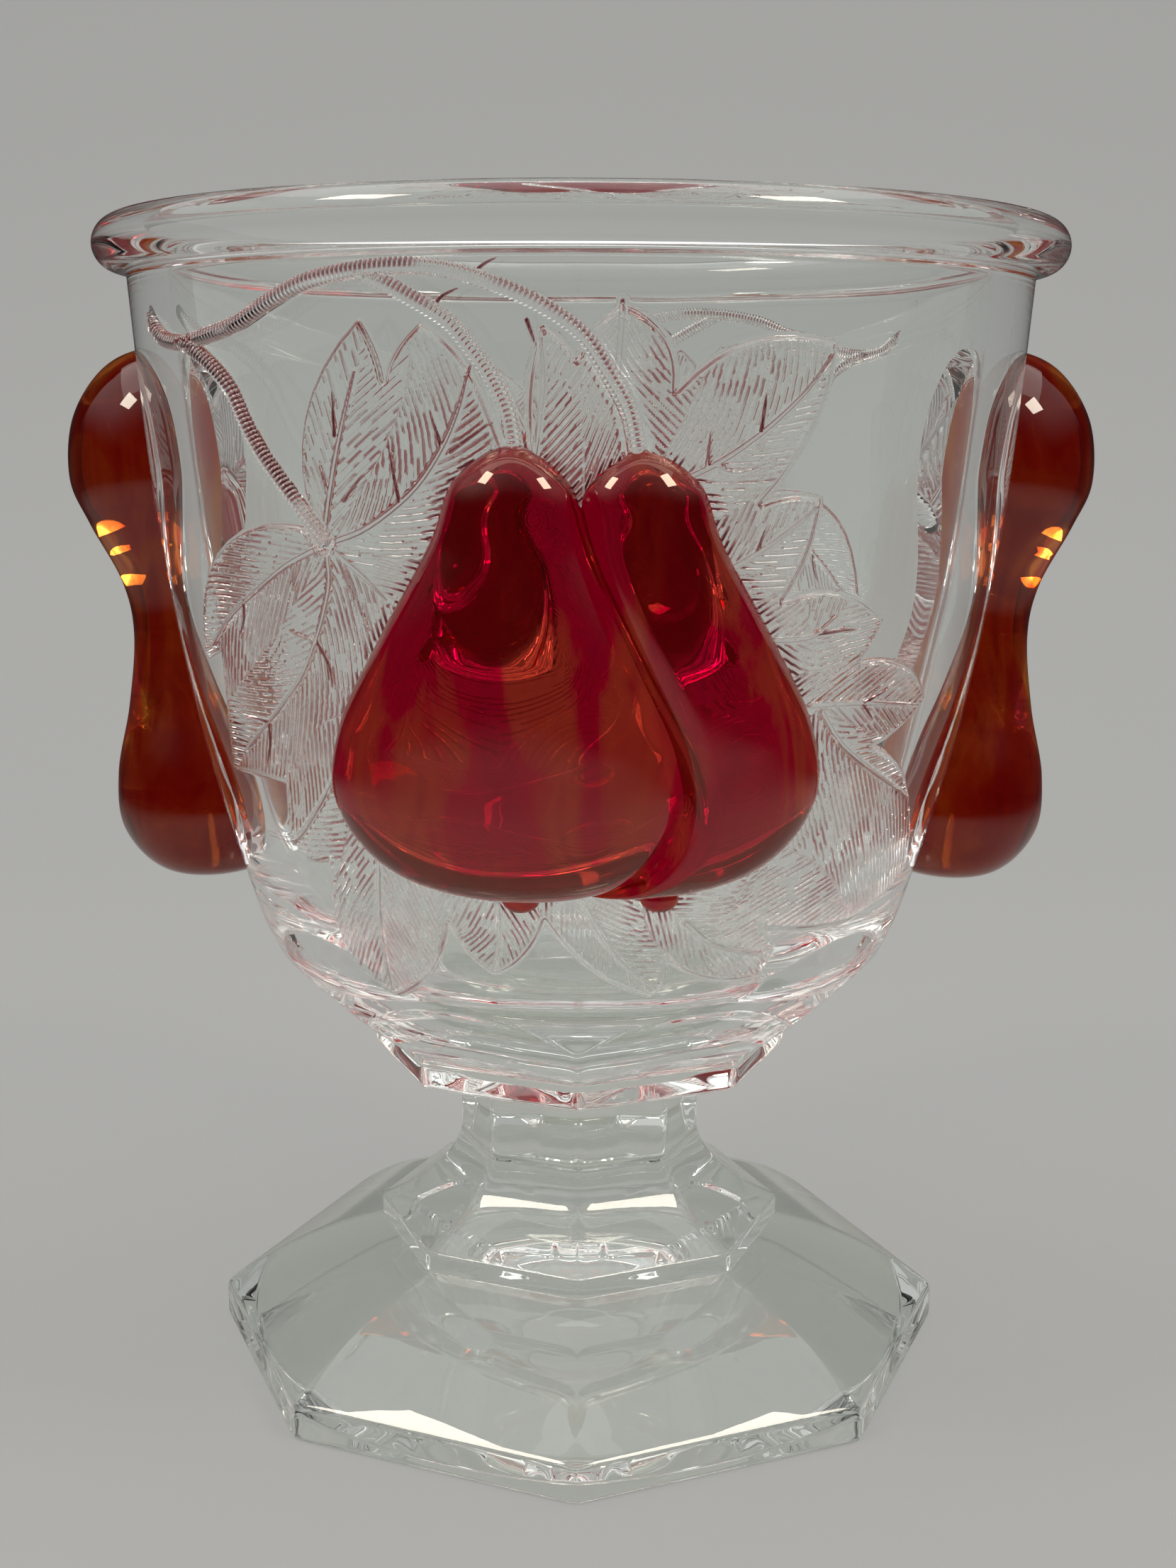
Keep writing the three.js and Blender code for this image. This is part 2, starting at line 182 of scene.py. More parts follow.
def section_surface(stations):
    """Surface through rows of (round radius, corner radius, height), one ring of columns each."""
    rows = np.asarray(stations, float)
    azimuth = np.broadcast_to(columns, (len(rows), len(columns)))
    corner = np.broadcast_to(rows[:, 1:2], azimuth.shape)
    flat = octagon(azimuth, corner)
    radius = soft_least(rows[:, :1] + 0 * azimuth, flat, CREASE)
    radius = np.where(rows[:, :1] * rows[:, 1:2] < 1e-9, 0, radius)
    return on_cylinder(radius, azimuth, rows[:, 2:3] + 0 * azimuth)


# %% [markdown]
# ## From grids to closed meshes
#
# A grid of points becomes triangles here. A row of zero radius is a pole and keeps one point, so
# that no mesh has a seam or a hole. Primitives and modifiers could do it too, but a grid that is
# worked out point by point holds the shape to a hundredth of a millimetre, as clear glass needs.

# %% Turn grids into triangles
GLASS, JOINT = 0, 1


def triangulate(index):
    """Two triangles for each cell of a grid of point numbers."""
    a, b, c, d = index[:-1, :-1], index[:-1, 1:], index[1:, 1:], index[1:, :-1]
    return np.concatenate([np.stack([a, b, c], -1), np.stack([a, c, d], -1)], 1).reshape(-1, 3)


def closed_grid(points, slots=None, around_rows=False):
    """Closed mesh from a grid whose columns meet round the back. Its rows end in poles, or meet
    too. Returns the points, the triangles and the slot of each triangle, given one per row.
    Triangles at a pole that have no area are left out."""
    rows, cols = points.shape[:2]
    index = np.arange(rows * cols).reshape(rows, cols)
    if not around_rows:
        index[0], index[-1] = index[0, 0], index[-1, 0]
    index = np.concatenate([index, index[:, :1]], 1)
    if around_rows:
        index = np.concatenate([index, index[:1]], 0)
    faces = triangulate(index)
    per_row = np.zeros(len(index) - 1, int) if slots is None else np.asarray(slots)
    slot = np.repeat(per_row, 2 * cols)
    a, b, c = faces.T
    kept = (a != b) & (b != c) & (a != c)
    return tidy_points(points.reshape(-1, points.shape[-1]), faces[kept], slot[kept])


def tidy_points(points, faces, slot):
    """Leaves out points that no triangle uses, and turns an inside-out mesh round: the volume is
    a sixth of the sum of the corners' triple products, and is positive when faces look out."""
    used, faces = np.unique(faces, return_inverse=True)
    points, faces = points[used], faces.reshape(-1, 3)
    a, b, c = (points[faces[:, k], :3] for k in range(3))
    if (a * np.cross(b, c)).sum() < 0:
        faces = faces[:, ::-1]
    return points, faces, slot


tilt = np.linspace(0, math.pi, 9)[:, None] + 0 * columns[::20]
ball = closed_grid(on_cylinder(np.sin(tilt), columns[::20], -np.cos(tilt)))
print("a ball of 9 rows and 16 columns has", len(ball[1]), "triangles")

# %% [markdown]
# The members of a pressing have no gap between them, but a renderer bends light at each face that
# it meets. They could be joined by booleans, but then each would lose its name and its stain. So
# each mesh stays closed, and its faces that lie inside another member's glass take a second
# material, which passes light straight on. Those faces are found by a signed distance: each
# triangle that crosses zero is cut there, which leaves a clean line at the joint.


# %% Cut meshes at the joints
def cut_joint(mesh, distance):
    """Gives the part of a mesh where distance(points) is negative the joint's material. A crossed
    triangle is split into three along the line where the distance, taken as even along its
    edges, passes zero."""
    points, faces, slot = mesh
    value = distance(points[:, :3])
    value = np.where(np.abs(value) < 1e-5, 1e-5, value)
    inside = value[faces] < 0
    count = inside.sum(1)
    crossed = (count == 1) | (count == 2)
    slot = np.where(count == 3, JOINT, slot)
    part, inner, alone_in = faces[crossed], inside[crossed], count[crossed] == 1
    odd = np.where(alone_in, inner.argmax(1), (~inner).argmax(1))
    a, b, c = np.take_along_axis(part, (odd[:, None] + np.arange(3)) % 3, 1).T
    edges = np.sort(np.concatenate([np.stack([a, b], 1), np.stack([a, c], 1)]), 1)
    edges, number = np.unique(edges, axis=0, return_inverse=True)
    near, far = value[edges[:, 0]], value[edges[:, 1]]
    share = (near / (near - far))[:, None]
    new = points[edges[:, 0]] * (1 - share) + points[edges[:, 1]] * share
    ab, ac = len(points) + number.reshape(2, -1)
    pieces = [np.stack(t, 1) for t in ((a, ab, ac), (ab, b, c), (ab, c, ac))]
    tip = np.where(alone_in, JOINT, slot[crossed])
    rest = np.where(alone_in, slot[crossed], JOINT)
    return (
        np.concatenate([points, new]),
        np.concatenate([faces[~crossed], *pieces]),
        np.concatenate([slot[~crossed], tip, rest, rest]),
    )


cut_ball = cut_joint(ball, lambda points: points[:, 2] - 0.1)
joint_share = np.mean(cut_ball[2] == JOINT)
print(f"cut above its middle, {joint_share:.0%} of the ball's triangles are joint")

# %% [markdown]
# Each mesh becomes one Blender object, which rides on the jar's only body and stands for its CAD
# node. Numbers that a material needs at each point, such as where stain lies, go with the mesh.

# %% Turn meshes into Blender objects
# Attributes held in a point's columns after x, y and z, by how many columns there are
CHANNELS = {4: {"stain": 3}, 10: {"cut": slice(3, 6), "line": slice(6, 9), "spill": 9}}


def add_piece(name, mesh, material, replaces, slot_name, sharp=50):
    """Makes a Blender object of a mesh. Columns of the points after the third become attributes."""
    points, faces, slot = mesh
    data = bpy.data.meshes.new(name)
    data.vertices.add(len(points))
    data.vertices.foreach_set("co", (points[:, :3] * MM).astype(np.float32).ravel())
    data.loops.add(faces.size)
    data.loops.foreach_set("vertex_index", faces.astype(np.int32).ravel())
    data.polygons.add(len(faces))
    data.polygons.foreach_set("loop_start", np.arange(0, faces.size, 3, dtype=np.int32))
    data.polygons.foreach_set("material_index", slot.astype(np.int32))
    data.update(calc_edges=True)
    data.validate()
    data.materials.append(material)
    if (slot == JOINT).any():
        data.materials.append(joint)
    data.set_sharp_from_angle(angle=math.radians(sharp))
    for name_of, columns_of in CHANNELS.get(points.shape[1], {}).items():
        values = points[:, columns_of].astype(np.float32)
        kind, key = ("FLOAT", "value") if values.ndim == 1 else ("FLOAT_VECTOR", "vector")
        data.attributes.new(name_of, kind, "POINT").data.foreach_set(key, values.ravel())
    piece = bpy.data.objects.new(name, data)
    bpy.context.scene.collection.objects.link(piece)
    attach(piece, "root")
    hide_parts(*replaces)
    print(f"{name}: {len(faces)} triangles, {np.mean(slot == JOINT):.0%} of them in joints")


# %% [markdown]
# ## Materials
#
# The clear metal, as glass makers call it, is soda-lime glass with an index of 1.52, fire-polished
# to a gloss. A pressing is never quite true: its faces wave by a few hundredths of a millimetre
# every centimetre or so, and that makes the light wander. The stains are thin films of copper and
# silver, fired onto the outside. They colour light as it passes, and where they are thin, ruby
# turns to amber.


# %% Write colours and nodes
def linear(code):
    """Scene-linear colour from an sRGB hex code: below 0.04045 a value is divided by 12.92, and
    above it, it is raised to the power 2.4 after its offset of 0.055 is taken out."""
    value = np.array([int(code[i : i + 2], 16) / 255 for i in (1, 3, 5)])
    value = np.where(value <= 0.04045, value / 12.92, ((value + 0.055) / 1.055) ** 2.4)
    return (*value.tolist(), 1.0)


def new_material(name):
    """Empty material with an output node."""
    material = bpy.data.materials.new(name)
    material.use_nodes = True
    material.node_tree.nodes.clear()
    return material, add_node(material, "OutputMaterial")


def add_node(material, kind, settings=(), **inputs):
    """Adds a node. Settings are the node's own properties. Each input, named with underscores for
    spaces or as i and its number, gets a value, or a link from an output or a node's first one."""
    node = material.node_tree.nodes.new("ShaderNode" + kind)
    for key, value in dict(settings).items():
        setattr(node, key, value)
    for key, value in inputs.items():
        numbered = key[0] == "i" and key[1:].isdigit()
        socket = node.inputs[int(key[1:]) if numbered else key.replace("_", " ")]
        if isinstance(value, bpy.types.Node):
            value = value.outputs[0]
        if isinstance(value, bpy.types.NodeSocket):
            material.node_tree.links.new(value, socket)
        else:
            socket.default_value = value
    return node


print("a mid grey, #808080, is", round(linear("#808080")[0], 3), "in scene-linear light")

# %% [markdown]
# Patterns come from a few small nodes: sums, smooth steps and noise. Noise is scaled in
# millimetres on the jar's own coordinates, so it stays at its real size on every piece. It could
# be painted on an image, but an image needs each mesh unwrapped and goes soft up close.

# %% Name the patterns' settings
PLUS, MINUS, TIMES = {"operation": "ADD"}, {"operation": "SUBTRACT"}, {"operation": "MULTIPLY"}
MOST, LEAST, AWAY = {"operation": "MAXIMUM"}, {"operation": "MINIMUM"}, {"operation": "ABSOLUTE"}
FRACTION, WHOLE = {"operation": "FRACT"}, {"operation": "FLOOR"}
SQUARE_ROOT = {"operation": "SQRT"}
SMOOTH = {"interpolation_type": "SMOOTHSTEP"}  # from 0 at From Min to 1 at From Max
COLOURS = {"data_type": "RGBA"}


def per_mm(size):
    """Noise scale that puts one feature every `size` millimetres on Object coordinates."""
    return 1 / (size * MM)


print("noise of one feature a millimetre has a scale of", per_mm(1))

# %% [markdown]
# The clear glass is a shade off white, because soda-lime sand holds a trace of iron. It could be a
# Glass shader, but the Principled one also takes a stain's thin film, so all glass here shares it.

# %% Make the clear glass
GLASS_IOR = 1.52


def finish_glass(material, out, colour, normal, **more):
    """Joins a glass surface to a material's output."""
    shader = add_node(
        material,
        "BsdfPrincipled",
        Base_Color=colour,
        Roughness=0.0,
        IOR=GLASS_IOR,
        Transmission_Weight=1.0,
        Normal=normal,
        **more,
    )
    material.node_tree.links.new(shader.outputs["BSDF"], out.inputs["Surface"])
    return material


CLEAR_TINT, FOOT_TINT = "#fbfdfb", "#f4f8f2"  # the foot is thick, so its tint is deeper


def clear_glass(name, size, depth, tint):
    """Fire-polished soda-lime glass whose faces wave by `depth` mm about every `size` mm."""
    material, out = new_material(name)
    place = add_node(material, "TexCoord").outputs["Object"]
    waves = add_node(material, "TexNoise", Vector=place, Scale=per_mm(size), Detail=1.0)
    normal = add_node(material, "Bump", Height=waves, Distance=depth * MM)
    return finish_glass(material, out, linear(tint), normal)


foot_glass = clear_glass("pressed_foot_glass", 11.0, 0.03, FOOT_TINT)
bowl_glass = clear_glass("pressed_bowl_glass", 14.0, 0.035, CLEAR_TINT)
print(foot_glass.name, "and", bowl_glass.name)

# %% [markdown]
# The stain is a skin on the glass, so the colour has to come from the surface and not from the
# depth of the glass. Cycles tints light by the square root of the base colour at each face that
# it crosses. The colours below are therefore what is left after light has gone in and out once:
# deep ruby where the stain is thick, amber where it ran thin.

# %% Make the stained glass
FILM_THICKNESS = 150.0  # of the stain's metal, in nanometres


def stained_glass(name, colours, streak, film_index):
    """Clear glass under a fired stain, from thick to thin. The stain lies in soft patches that
    are stretched along the jar's axis as it ran, by one over `streak`. Its metal is a thin film
    of its own index, which gives the reflections a sheen."""
    material, out = new_material(name)
    place = add_node(material, "TexCoord").outputs["Object"]
    run_down = add_node(material, "Mapping", Vector=place, Scale=(1, 1, streak))
    look = {"Scale": per_mm(6.5), "Detail": 4.0, "Distortion": 0.8}
    patches = add_node(material, "TexNoise", Vector=run_down, **look)
    ramp = add_node(material, "ValToRGB", Fac=patches)
    for element in list(ramp.color_ramp.elements)[1:]:
        ramp.color_ramp.elements.remove(element)
    for k, (position, code) in enumerate(colours):
        element = ramp.color_ramp.elements[0] if k == 0 else ramp.color_ramp.elements.new(position)
        element.position, element.color = position, linear(code)
    waves = add_node(material, "TexNoise", Vector=place, Scale=per_mm(8.0), Detail=1.0)
    normal = add_node(material, "Bump", Height=waves, Distance=0.03 * MM)
    film = {"Thin_Film_Thickness": FILM_THICKNESS, "Thin_Film_IOR": film_index}
    return finish_glass(material, out, ramp, normal, **film)


RUBY = [(0.3, "#5e0001"), (0.5, "#700001"), (0.62, "#780401"), (0.72, "#660001")]
AMBER_RUBY = [(0.32, "#680101"), (0.46, "#7c0600"), (0.56, "#902601"), (0.66, "#6c0300")]
ruby = stained_glass("ruby_stained_glass", RUBY, 0.3, 1.62)
amber_ruby = stained_glass("amber_ruby_stained_glass", AMBER_RUBY, 0.25, 1.53)
print(ruby.name, "and", amber_ruby.name)

# %% [markdown]
# Leaves and twigs are clear, but stain stays in their cuts when it is wiped off. The finest cuts
# are thinner than the mesh's triangles, so the material draws them: the mesh carries, at each
# point, where it lies in the rows of cuts, and the nodes turn that into grooves and colour.


# %% Make the glass of the relief
def ramp_to_stain(material, amount):
    """Colour of clear glass that is stained by an amount from 0 to 1: first pink, then dark."""
    ramp = add_node(material, "ValToRGB", Fac=amount)
    elements = ramp.color_ramp.elements
    elements[0].color, elements[1].color = linear(CLEAR_TINT), linear("#3c060a")
    elements.new(0.45).color = linear("#a8575c")
    return ramp


def rows_of_grooves(material, row, run, strength):
    """Depth of the cuts, from 0 to 1: highest in the middle of each row, which noise along the
    row's run breaks into dashes, times how strong the cuts are."""
    in_row = add_node(material, "Math", FRACTION, i0=row)
    from_middle = add_node(material, "Math", MINUS, i0=in_row, i1=0.5)
    off_middle = add_node(material, "Math", AWAY, i0=from_middle)
    cut = add_node(material, "MapRange", SMOOTH, Value=off_middle, From_Min=0.3, From_Max=0.1)
    which_row = add_node(material, "Math", WHOLE, i0=row)
    number = add_node(material, "Math", TIMES, i0=which_row, i1=7.31)
    along = add_node(material, "Math", TIMES, i0=run, i1=0.45)
    spot = add_node(material, "CombineXYZ", X=number, Y=along)
    dashes = add_node(material, "TexNoise", Vector=spot, Scale=1.0, Detail=0.0)
    in_dash = add_node(material, "MapRange", SMOOTH, Value=dashes, From_Min=0.4, From_Max=0.47)
    dashed = add_node(material, "Math", TIMES, i0=cut, i1=in_dash)
    return add_node(material, "Math", TIMES, i0=dashed, i1=strength)


def line_at(material, distance, where, half, edge):
    """1 on a line at a distance, out to so far from its middle, and 0 from there on: the share is
    a smooth step of how far the distance is from where the line is."""
    off = add_node(material, "Math", MINUS, i0=distance, i1=where)
    away = add_node(material, "Math", AWAY, i0=off)
    return add_node(material, "MapRange", SMOOTH, Value=away, From_Min=edge, From_Max=half)


def hatched_glass(name):
    """Leaf relief. The cuts run in rows, and each row breaks into dashes at random. Stain stays
    in some of the cuts, in the veins, on the edges of the leaves and close to the pears."""
    material, out = new_material(name)
    names = ("cut", "line", "spill")
    cut, line, spill = (add_node(material, "Attribute", {"attribute_name": n}) for n in names)
    rows = add_node(material, "SeparateXYZ", Vector=cut.outputs["Vector"])
    groove = rows_of_grooves(material, *rows.outputs)
    lines = add_node(material, "SeparateXYZ", Vector=line.outputs["Vector"])
    inside, outside_rib, dark = lines.outputs

    # The bead along a leaf's edge, the ribs, the lines on both sides of a rib, and short veins
    ends = {"From_Min": 0.05, "From_Max": -0.06}
    rib = add_node(material, "MapRange", SMOOTH, Value=outside_rib, **ends)
    edge = line_at(material, inside, 0.3, 0.05, 0.16)
    rib_sides = line_at(material, outside_rib, -0.03, 0.02, 0.08)
    ends = {"From_Min": 0.02, "From_Max": -0.08}
    on_vein = add_node(material, "MapRange", SMOOTH, Value=outside_rib, **ends)
    in_dark = add_node(material, "MapRange", SMOOTH, Value=dark, From_Min=0.82, From_Max=0.95)
    short_vein = add_node(material, "Math", TIMES, i0=on_vein, i1=in_dark)
    ridges = add_node(material, "Math", MOST, i0=edge, i1=rib)
    height = add_node(material, "Math", MINUS, i0=ridges, i1=groove)
    normal = add_node(material, "Bump", Height=height, Distance=0.05 * MM)

    # How much stain stays in each
    place = add_node(material, "TexCoord").outputs["Object"]
    clouds = add_node(material, "TexNoise", Vector=place, Scale=per_mm(9.0), Detail=2.0)
    patches = add_node(material, "MapRange", SMOOTH, Value=clouds, From_Min=0.45, From_Max=0.62)
    some = add_node(material, "Math", TIMES, i0=patches, i1=0.4)
    spilled = add_node(material, "Math", PLUS, i0=some, i1=spill.outputs["Fac"])
    stained = add_node(material, "Math", PLUS, i0=spilled, i1=0.06)
    in_cuts = add_node(material, "Math", TIMES, i0=groove, i1=stained)
    by_ribs = add_node(material, "Math", TIMES, i0=rib_sides, i1=dark)
    in_sides = add_node(material, "Math", TIMES, i0=by_ribs, i1=0.75)
    on_edges = add_node(material, "Math", TIMES, i0=edge, i1=patches)
    most = add_node(material, "Math", TIMES, i0=on_edges, i1=0.6)
    for amount in (in_sides, short_vein, in_cuts):
        most = add_node(material, "Math", MOST, i0=most, i1=amount)
    amount = add_node(material, "Math", LEAST, i0=most, i1=1.0)
    return finish_glass(material, out, ramp_to_stain(material, amount), normal)


def ringed_glass(name):
    """Twigs, with stain where the attribute `stain` says so."""
    material, out = new_material(name)
    stain = add_node(material, "Attribute", {"attribute_name": "stain"})
    place = add_node(material, "TexCoord").outputs["Object"]
    waves = add_node(material, "TexNoise", Vector=place, Scale=per_mm(2.0), Detail=1.0)
    normal = add_node(material, "Bump", Height=waves, Distance=0.01 * MM)
    return finish_glass(material, out, ramp_to_stain(material, stain.outputs["Fac"]), normal)


def joint_glass():
    """Inside of the glass, where two members are one: light goes straight on."""
    material, out = new_material("glass_run_together")
    shader = add_node(material, "BsdfTransparent")
    material.node_tree.links.new(shader.outputs["BSDF"], out.inputs["Surface"])
    return material


leaf_glass = hatched_glass("hatched_relief_glass")
twig_glass = ringed_glass("ringed_twig_glass")
joint = joint_glass()
print(len(leaf_glass.node_tree.nodes), "nodes draw the hatching")

# %% [markdown]
# ## Foot
#
# The foot is an octagonal plinth. Eight slightly domed facets rise to the step, its side faces are
# upright, and a shallow round dish underneath leaves a flat ring to stand on. It could be an
# eight-sided cylinder with bevels, but clear glass magnifies the creases that a bevel leaves. So
# each height gets its own soft octagon, and the heights follow one smooth outline.


# %% Turn outlines into rows
def rows_round(outline):
    """Rows of a round part from its (radius, height) outline."""
    outline = np.asarray(outline, float)
    return np.stack([outline[:, 0], np.where(outline[:, 0] < 1e-9, 0, FAR), outline[:, 1]], 1)


def rows_flat(outline):
    """Rows of an octagonal part from its (corner radius, height) outline."""
    outline = np.asarray(outline, float)
    return np.stack([np.where(outline[:, 0] < 1e-9, 0, FAR), outline[:, 0], outline[:, 1]], 1)


def member(name, rows, slots, replaces):
    """Clear member from rows, with one slot for each stretch between two rows."""
    assert len(slots) == len(rows) - 1, (name, len(slots), len(rows))
    mesh = closed_grid(section_surface(rows), slots)
    add_piece(name, mesh, foot_glass, [replaces], "clear_glass")


def capped(bottom, outline_rows, top):
    """Rows of an octagonal member between two joints, each a disc that closes it on the axis."""
    rows = np.concatenate([rows_flat([[0, bottom]]), outline_rows, rows_flat([[0, top]])])
    slots = [JOINT] + [GLASS] * (len(outline_rows) - 1) + [JOINT]
    return rows, slots


print("a flat row and a round one:", rows_flat([[20, 5]])[0], rows_round([[20, 5]])[0])

# %% Build the foot
FOOT_CORNER, FOOT_EDGE, FOOT_CROWN = 42.6, 3.85, 1.1
DISH_RADIUS, DISH_DEPTH = 36.0, 7.5
STEP_CORNER, STEP_BOTTOM, STEP_JOINT = 23.7, 13.0, 13.3

sphere = (DISH_RADIUS**2 + DISH_DEPTH**2) / (2 * DISH_DEPTH)
dish_radius = np.sin(np.linspace(0, 1, 26) * math.pi / 2) * (DISH_RADIUS - 0.4)
dish = np.stack([dish_radius, np.sqrt(sphere**2 - dish_radius**2) - sphere + DISH_DEPTH], 1)
lip = bend(dish[-1], (DISH_RADIUS, 0.0), (DISH_RADIUS + 0.5, 0.0), 6)[1:]
crown = bend(
    (FOOT_CORNER, FOOT_EDGE),
    ((FOOT_CORNER + STEP_CORNER) / 2 + FOOT_CROWN, (FOOT_EDGE + STEP_BOTTOM) / 2 + 2 * FOOT_CROWN),
    (STEP_CORNER, STEP_BOTTOM),
    26,
)
edge = fillet(
    [(FOOT_CORNER - 4, 0, 0), (FOOT_CORNER, 0, 0.5), (FOOT_CORNER, FOOT_EDGE, 0.45), (*crown[3], 0)]
)
waist_corners = [(*crown[-4], 0), (STEP_CORNER, STEP_BOTTOM, 0.25), (STEP_CORNER, STEP_JOINT, 0)]
waist = fillet(waist_corners, support=0.1)
facets = np.concatenate([edge[1:], crown[4:-4], waist, [[0, STEP_JOINT]]])
foot_rows = np.concatenate([rows_round(dish), rows_round(lip), rows_flat(facets)])
member("foot_glass", foot_rows, [GLASS] * (len(foot_rows) - 2) + [JOINT], "foot")

# %% [markdown]
# ## Step, stem and collar
#
# Between foot and bowl stand a step, whose flare sweeps up in a hollow curve, a stem with eight
# flats, and a collar that juts out over it. They share the foot's corners, so the same rows serve.

# %% Build the step, stem and collar
STEP_TOP, STEM_CORNER, STEM_BOTTOM, STEM_JOINT, FLARE_HOLLOW = 15.15, 14.1, 23.8, 25.4, 1.7
COLLAR_CORNER, COLLAR_BOTTOM, COLLAR_JOINT, BOWL_JOINT = 24.1, 34.5, 33.3, 38.4
FACET_SPREAD = 1.252  # how far the flats' corners move out for each mm up

flare = bend(
    (STEP_CORNER, STEP_TOP),
    (STEM_CORNER + FLARE_HOLLOW, (STEP_TOP + STEM_BOTTOM) / 2 - FLARE_HOLLOW / 2),
    (STEM_CORNER, STEM_BOTTOM),
    22,
)
step_edge = fillet([(STEP_CORNER, STEP_JOINT, 0), (STEP_CORNER, STEP_TOP, 0.4), (*flare[2], 0)])
stem_foot = [(*flare[-4], 0), (STEM_CORNER, STEM_BOTTOM, 1.2), (STEM_CORNER, STEM_JOINT, 0)]
step_outline = np.concatenate([step_edge, flare[3:-4], fillet(stem_foot, support=0.1)])
member("step_glass", *capped(STEP_JOINT, rows_flat(step_outline), STEM_JOINT), "foot_step")

stem_outline = np.stack([np.full(9, STEM_CORNER), np.linspace(STEM_JOINT, COLLAR_JOINT, 9)], 1)
member("stem_glass", *capped(STEM_JOINT, rows_flat(stem_outline), COLLAR_JOINT), "stem")

collar_outline = fillet(
    [
        (STEM_CORNER, COLLAR_JOINT, 0),
        (STEM_CORNER, COLLAR_BOTTOM, 0.9),
        (COLLAR_CORNER, COLLAR_BOTTOM, 0.5),
        (COLLAR_CORNER, BOWL_BOTTOM, 0.45),
        (COLLAR_CORNER + FACET_SPREAD * (BOWL_JOINT - BOWL_BOTTOM), BOWL_JOINT, 0),
    ]
)
member("collar_glass", *capped(COLLAR_JOINT, rows_flat(collar_outline), BOWL_JOINT), "collar")

# %% [markdown]
# ## Pears and handles
#
# On the real jar these are solid lumps of glass that stand out of the wall. They could be
# sculpted, but a profile turned about an axis along the wall is even, and its signed distance is
# simple: the distance from the axis, less the profile's radius there. That distance finds the
# line where the body meets the wall or its neighbour.


# %% Describe the turned bodies
def basis(foot, top):
    """Axes of a body on the wall: along the wall, into the jar, and up its own length."""
    up = (top - foot) / np.linalg.norm(top - foot)
    middle = (top + foot) / 2
    along = np.array([-middle[1], middle[0], 0])
    along -= (along @ up) * up  # square to the length even where the body leans
    along /= np.linalg.norm(along)
    return np.stack([along, np.cross(up, along), up])


def wall_point(degrees, height, offset=0.0):
    """Point on the wall at an azimuth in degrees, moved out by an offset."""
    return on_cylinder(wall_radius(height) + offset, np.radians(degrees), np.asarray(height, float))


class Turned:
    """Body turned about the line from foot to top, with its width and depth scaled. The depth's
    scale is one number, or one for each point of the profile."""

    def __init__(self, profile, foot, top, width, depth):
        """Keeps the (radius, height) profile, the two ends of the axis and the scales."""
        self.profile, self.foot, self.top, self.axes = profile, foot, top, basis(foot, top)
        self.width, self.depth = width, np.broadcast_to(depth, len(profile))

    def surface(self, columns_round):
        """Grid with one ring for each point of the profile."""
        turn = np.linspace(0, 2 * math.pi, columns_round, endpoint=False)[None]
        radius, along = self.profile[:, :1], self.profile[:, 1:]
        x, y = radius * np.cos(turn) * self.width, radius * np.sin(turn) * self.depth[:, None]
        return np.stack([x, y, along + 0 * turn], -1) @ self.axes + self.foot

    def distance(self, points):
        """Distance from the axis, with width and depth scaled back, less the profile's radius."""
        x, y, z = ((points - self.foot) @ self.axes.T).T
        away = np.hypot(x / self.width, y / np.interp(z, self.profile[:, 1], self.depth))
        radius = np.interp(z, self.profile[:, 1], self.profile[:, 0])
        beyond = np.maximum(-z, z - self.profile[-1, 1])
        return np.where(beyond > 0, np.maximum(away, beyond), away - radius)


def upright(profile):
    """Profile with heights that only rise, so that a radius can be read off at any height."""
    profile = profile.copy()
    profile[:, 0] = np.maximum(profile[:, 0], 0)
    profile[:, 1] = np.maximum.accumulate(profile[:, 1])
    return profile


axes = basis(wall_point(0, 60), wall_point(0, 100))
print("axes of a body at the front:", axes.round(2).tolist())

# %% [markdown]
# The pears are widest low down, with a slim neck, and the handles are bulbs joined by a waist.
# Their outlines were measured in the photograph as shares of the widest radius and of the length,
# from the foot up. The scene adds what the solids leave out: the pears lean in a little, and
# their necks are rounder than their bellies. The handles' inset keeps them inside the CAD box.

# %% Shape the pears, calyxes and handles
PEAR_HEIGHT, PEAR_FOOT = BOWL_HEIGHT * 0.508, BOWL_BOTTOM + BOWL_HEIGHT * 0.299
PEAR_WIDTH, PEAR_DEPTH, PEAR_TURN = 16.9, 0.56, 8.4
PEAR_LEAN, NECK_DEPTH, NECK_FROM, NECK_TO = 0.18, 0.76, 0.3, 0.85
CALYX_RADIUS, CALYX_WIDTH = 1.4, 1.35
HANDLE_LENGTH, HANDLE_BULB, HANDLE_WAIST, HANDLE_WIDTH = 59.4, 11.2, 6.7, 1.08
HANDLE_DROP, HANDLE_TOP_SINK, HANDLE_FOOT_STAND, HANDLE_INSET = 7.1, 1.1, 3.6, 0.13

PEAR_SHARES = [
    [0, 0], [0.66, 0.05], [0.98, 0.2], [0.95, 0.38], [0.71, 0.585],
    [0.44, 0.79], [0.3, 0.93], [0, 1],
]
HANDLE_SHARES = [
    [0, 0], [0.62, 0.025], [0.95, 0.11], [0.94, 0.217], [0.74, 0.343],
    [HANDLE_WAIST / HANDLE_BULB, 0.477],
    [0.64, 0.577], [0.87, 0.69], [1, 0.778], [0.88, 0.89], [0.5, 0.975], [0, 1],
]
PEAR_PROFILE = np.array(PEAR_SHARES) * [PEAR_WIDTH, PEAR_HEIGHT]
HANDLE_PROFILE = np.array(HANDLE_SHARES) * [HANDLE_BULB, HANDLE_LENGTH]


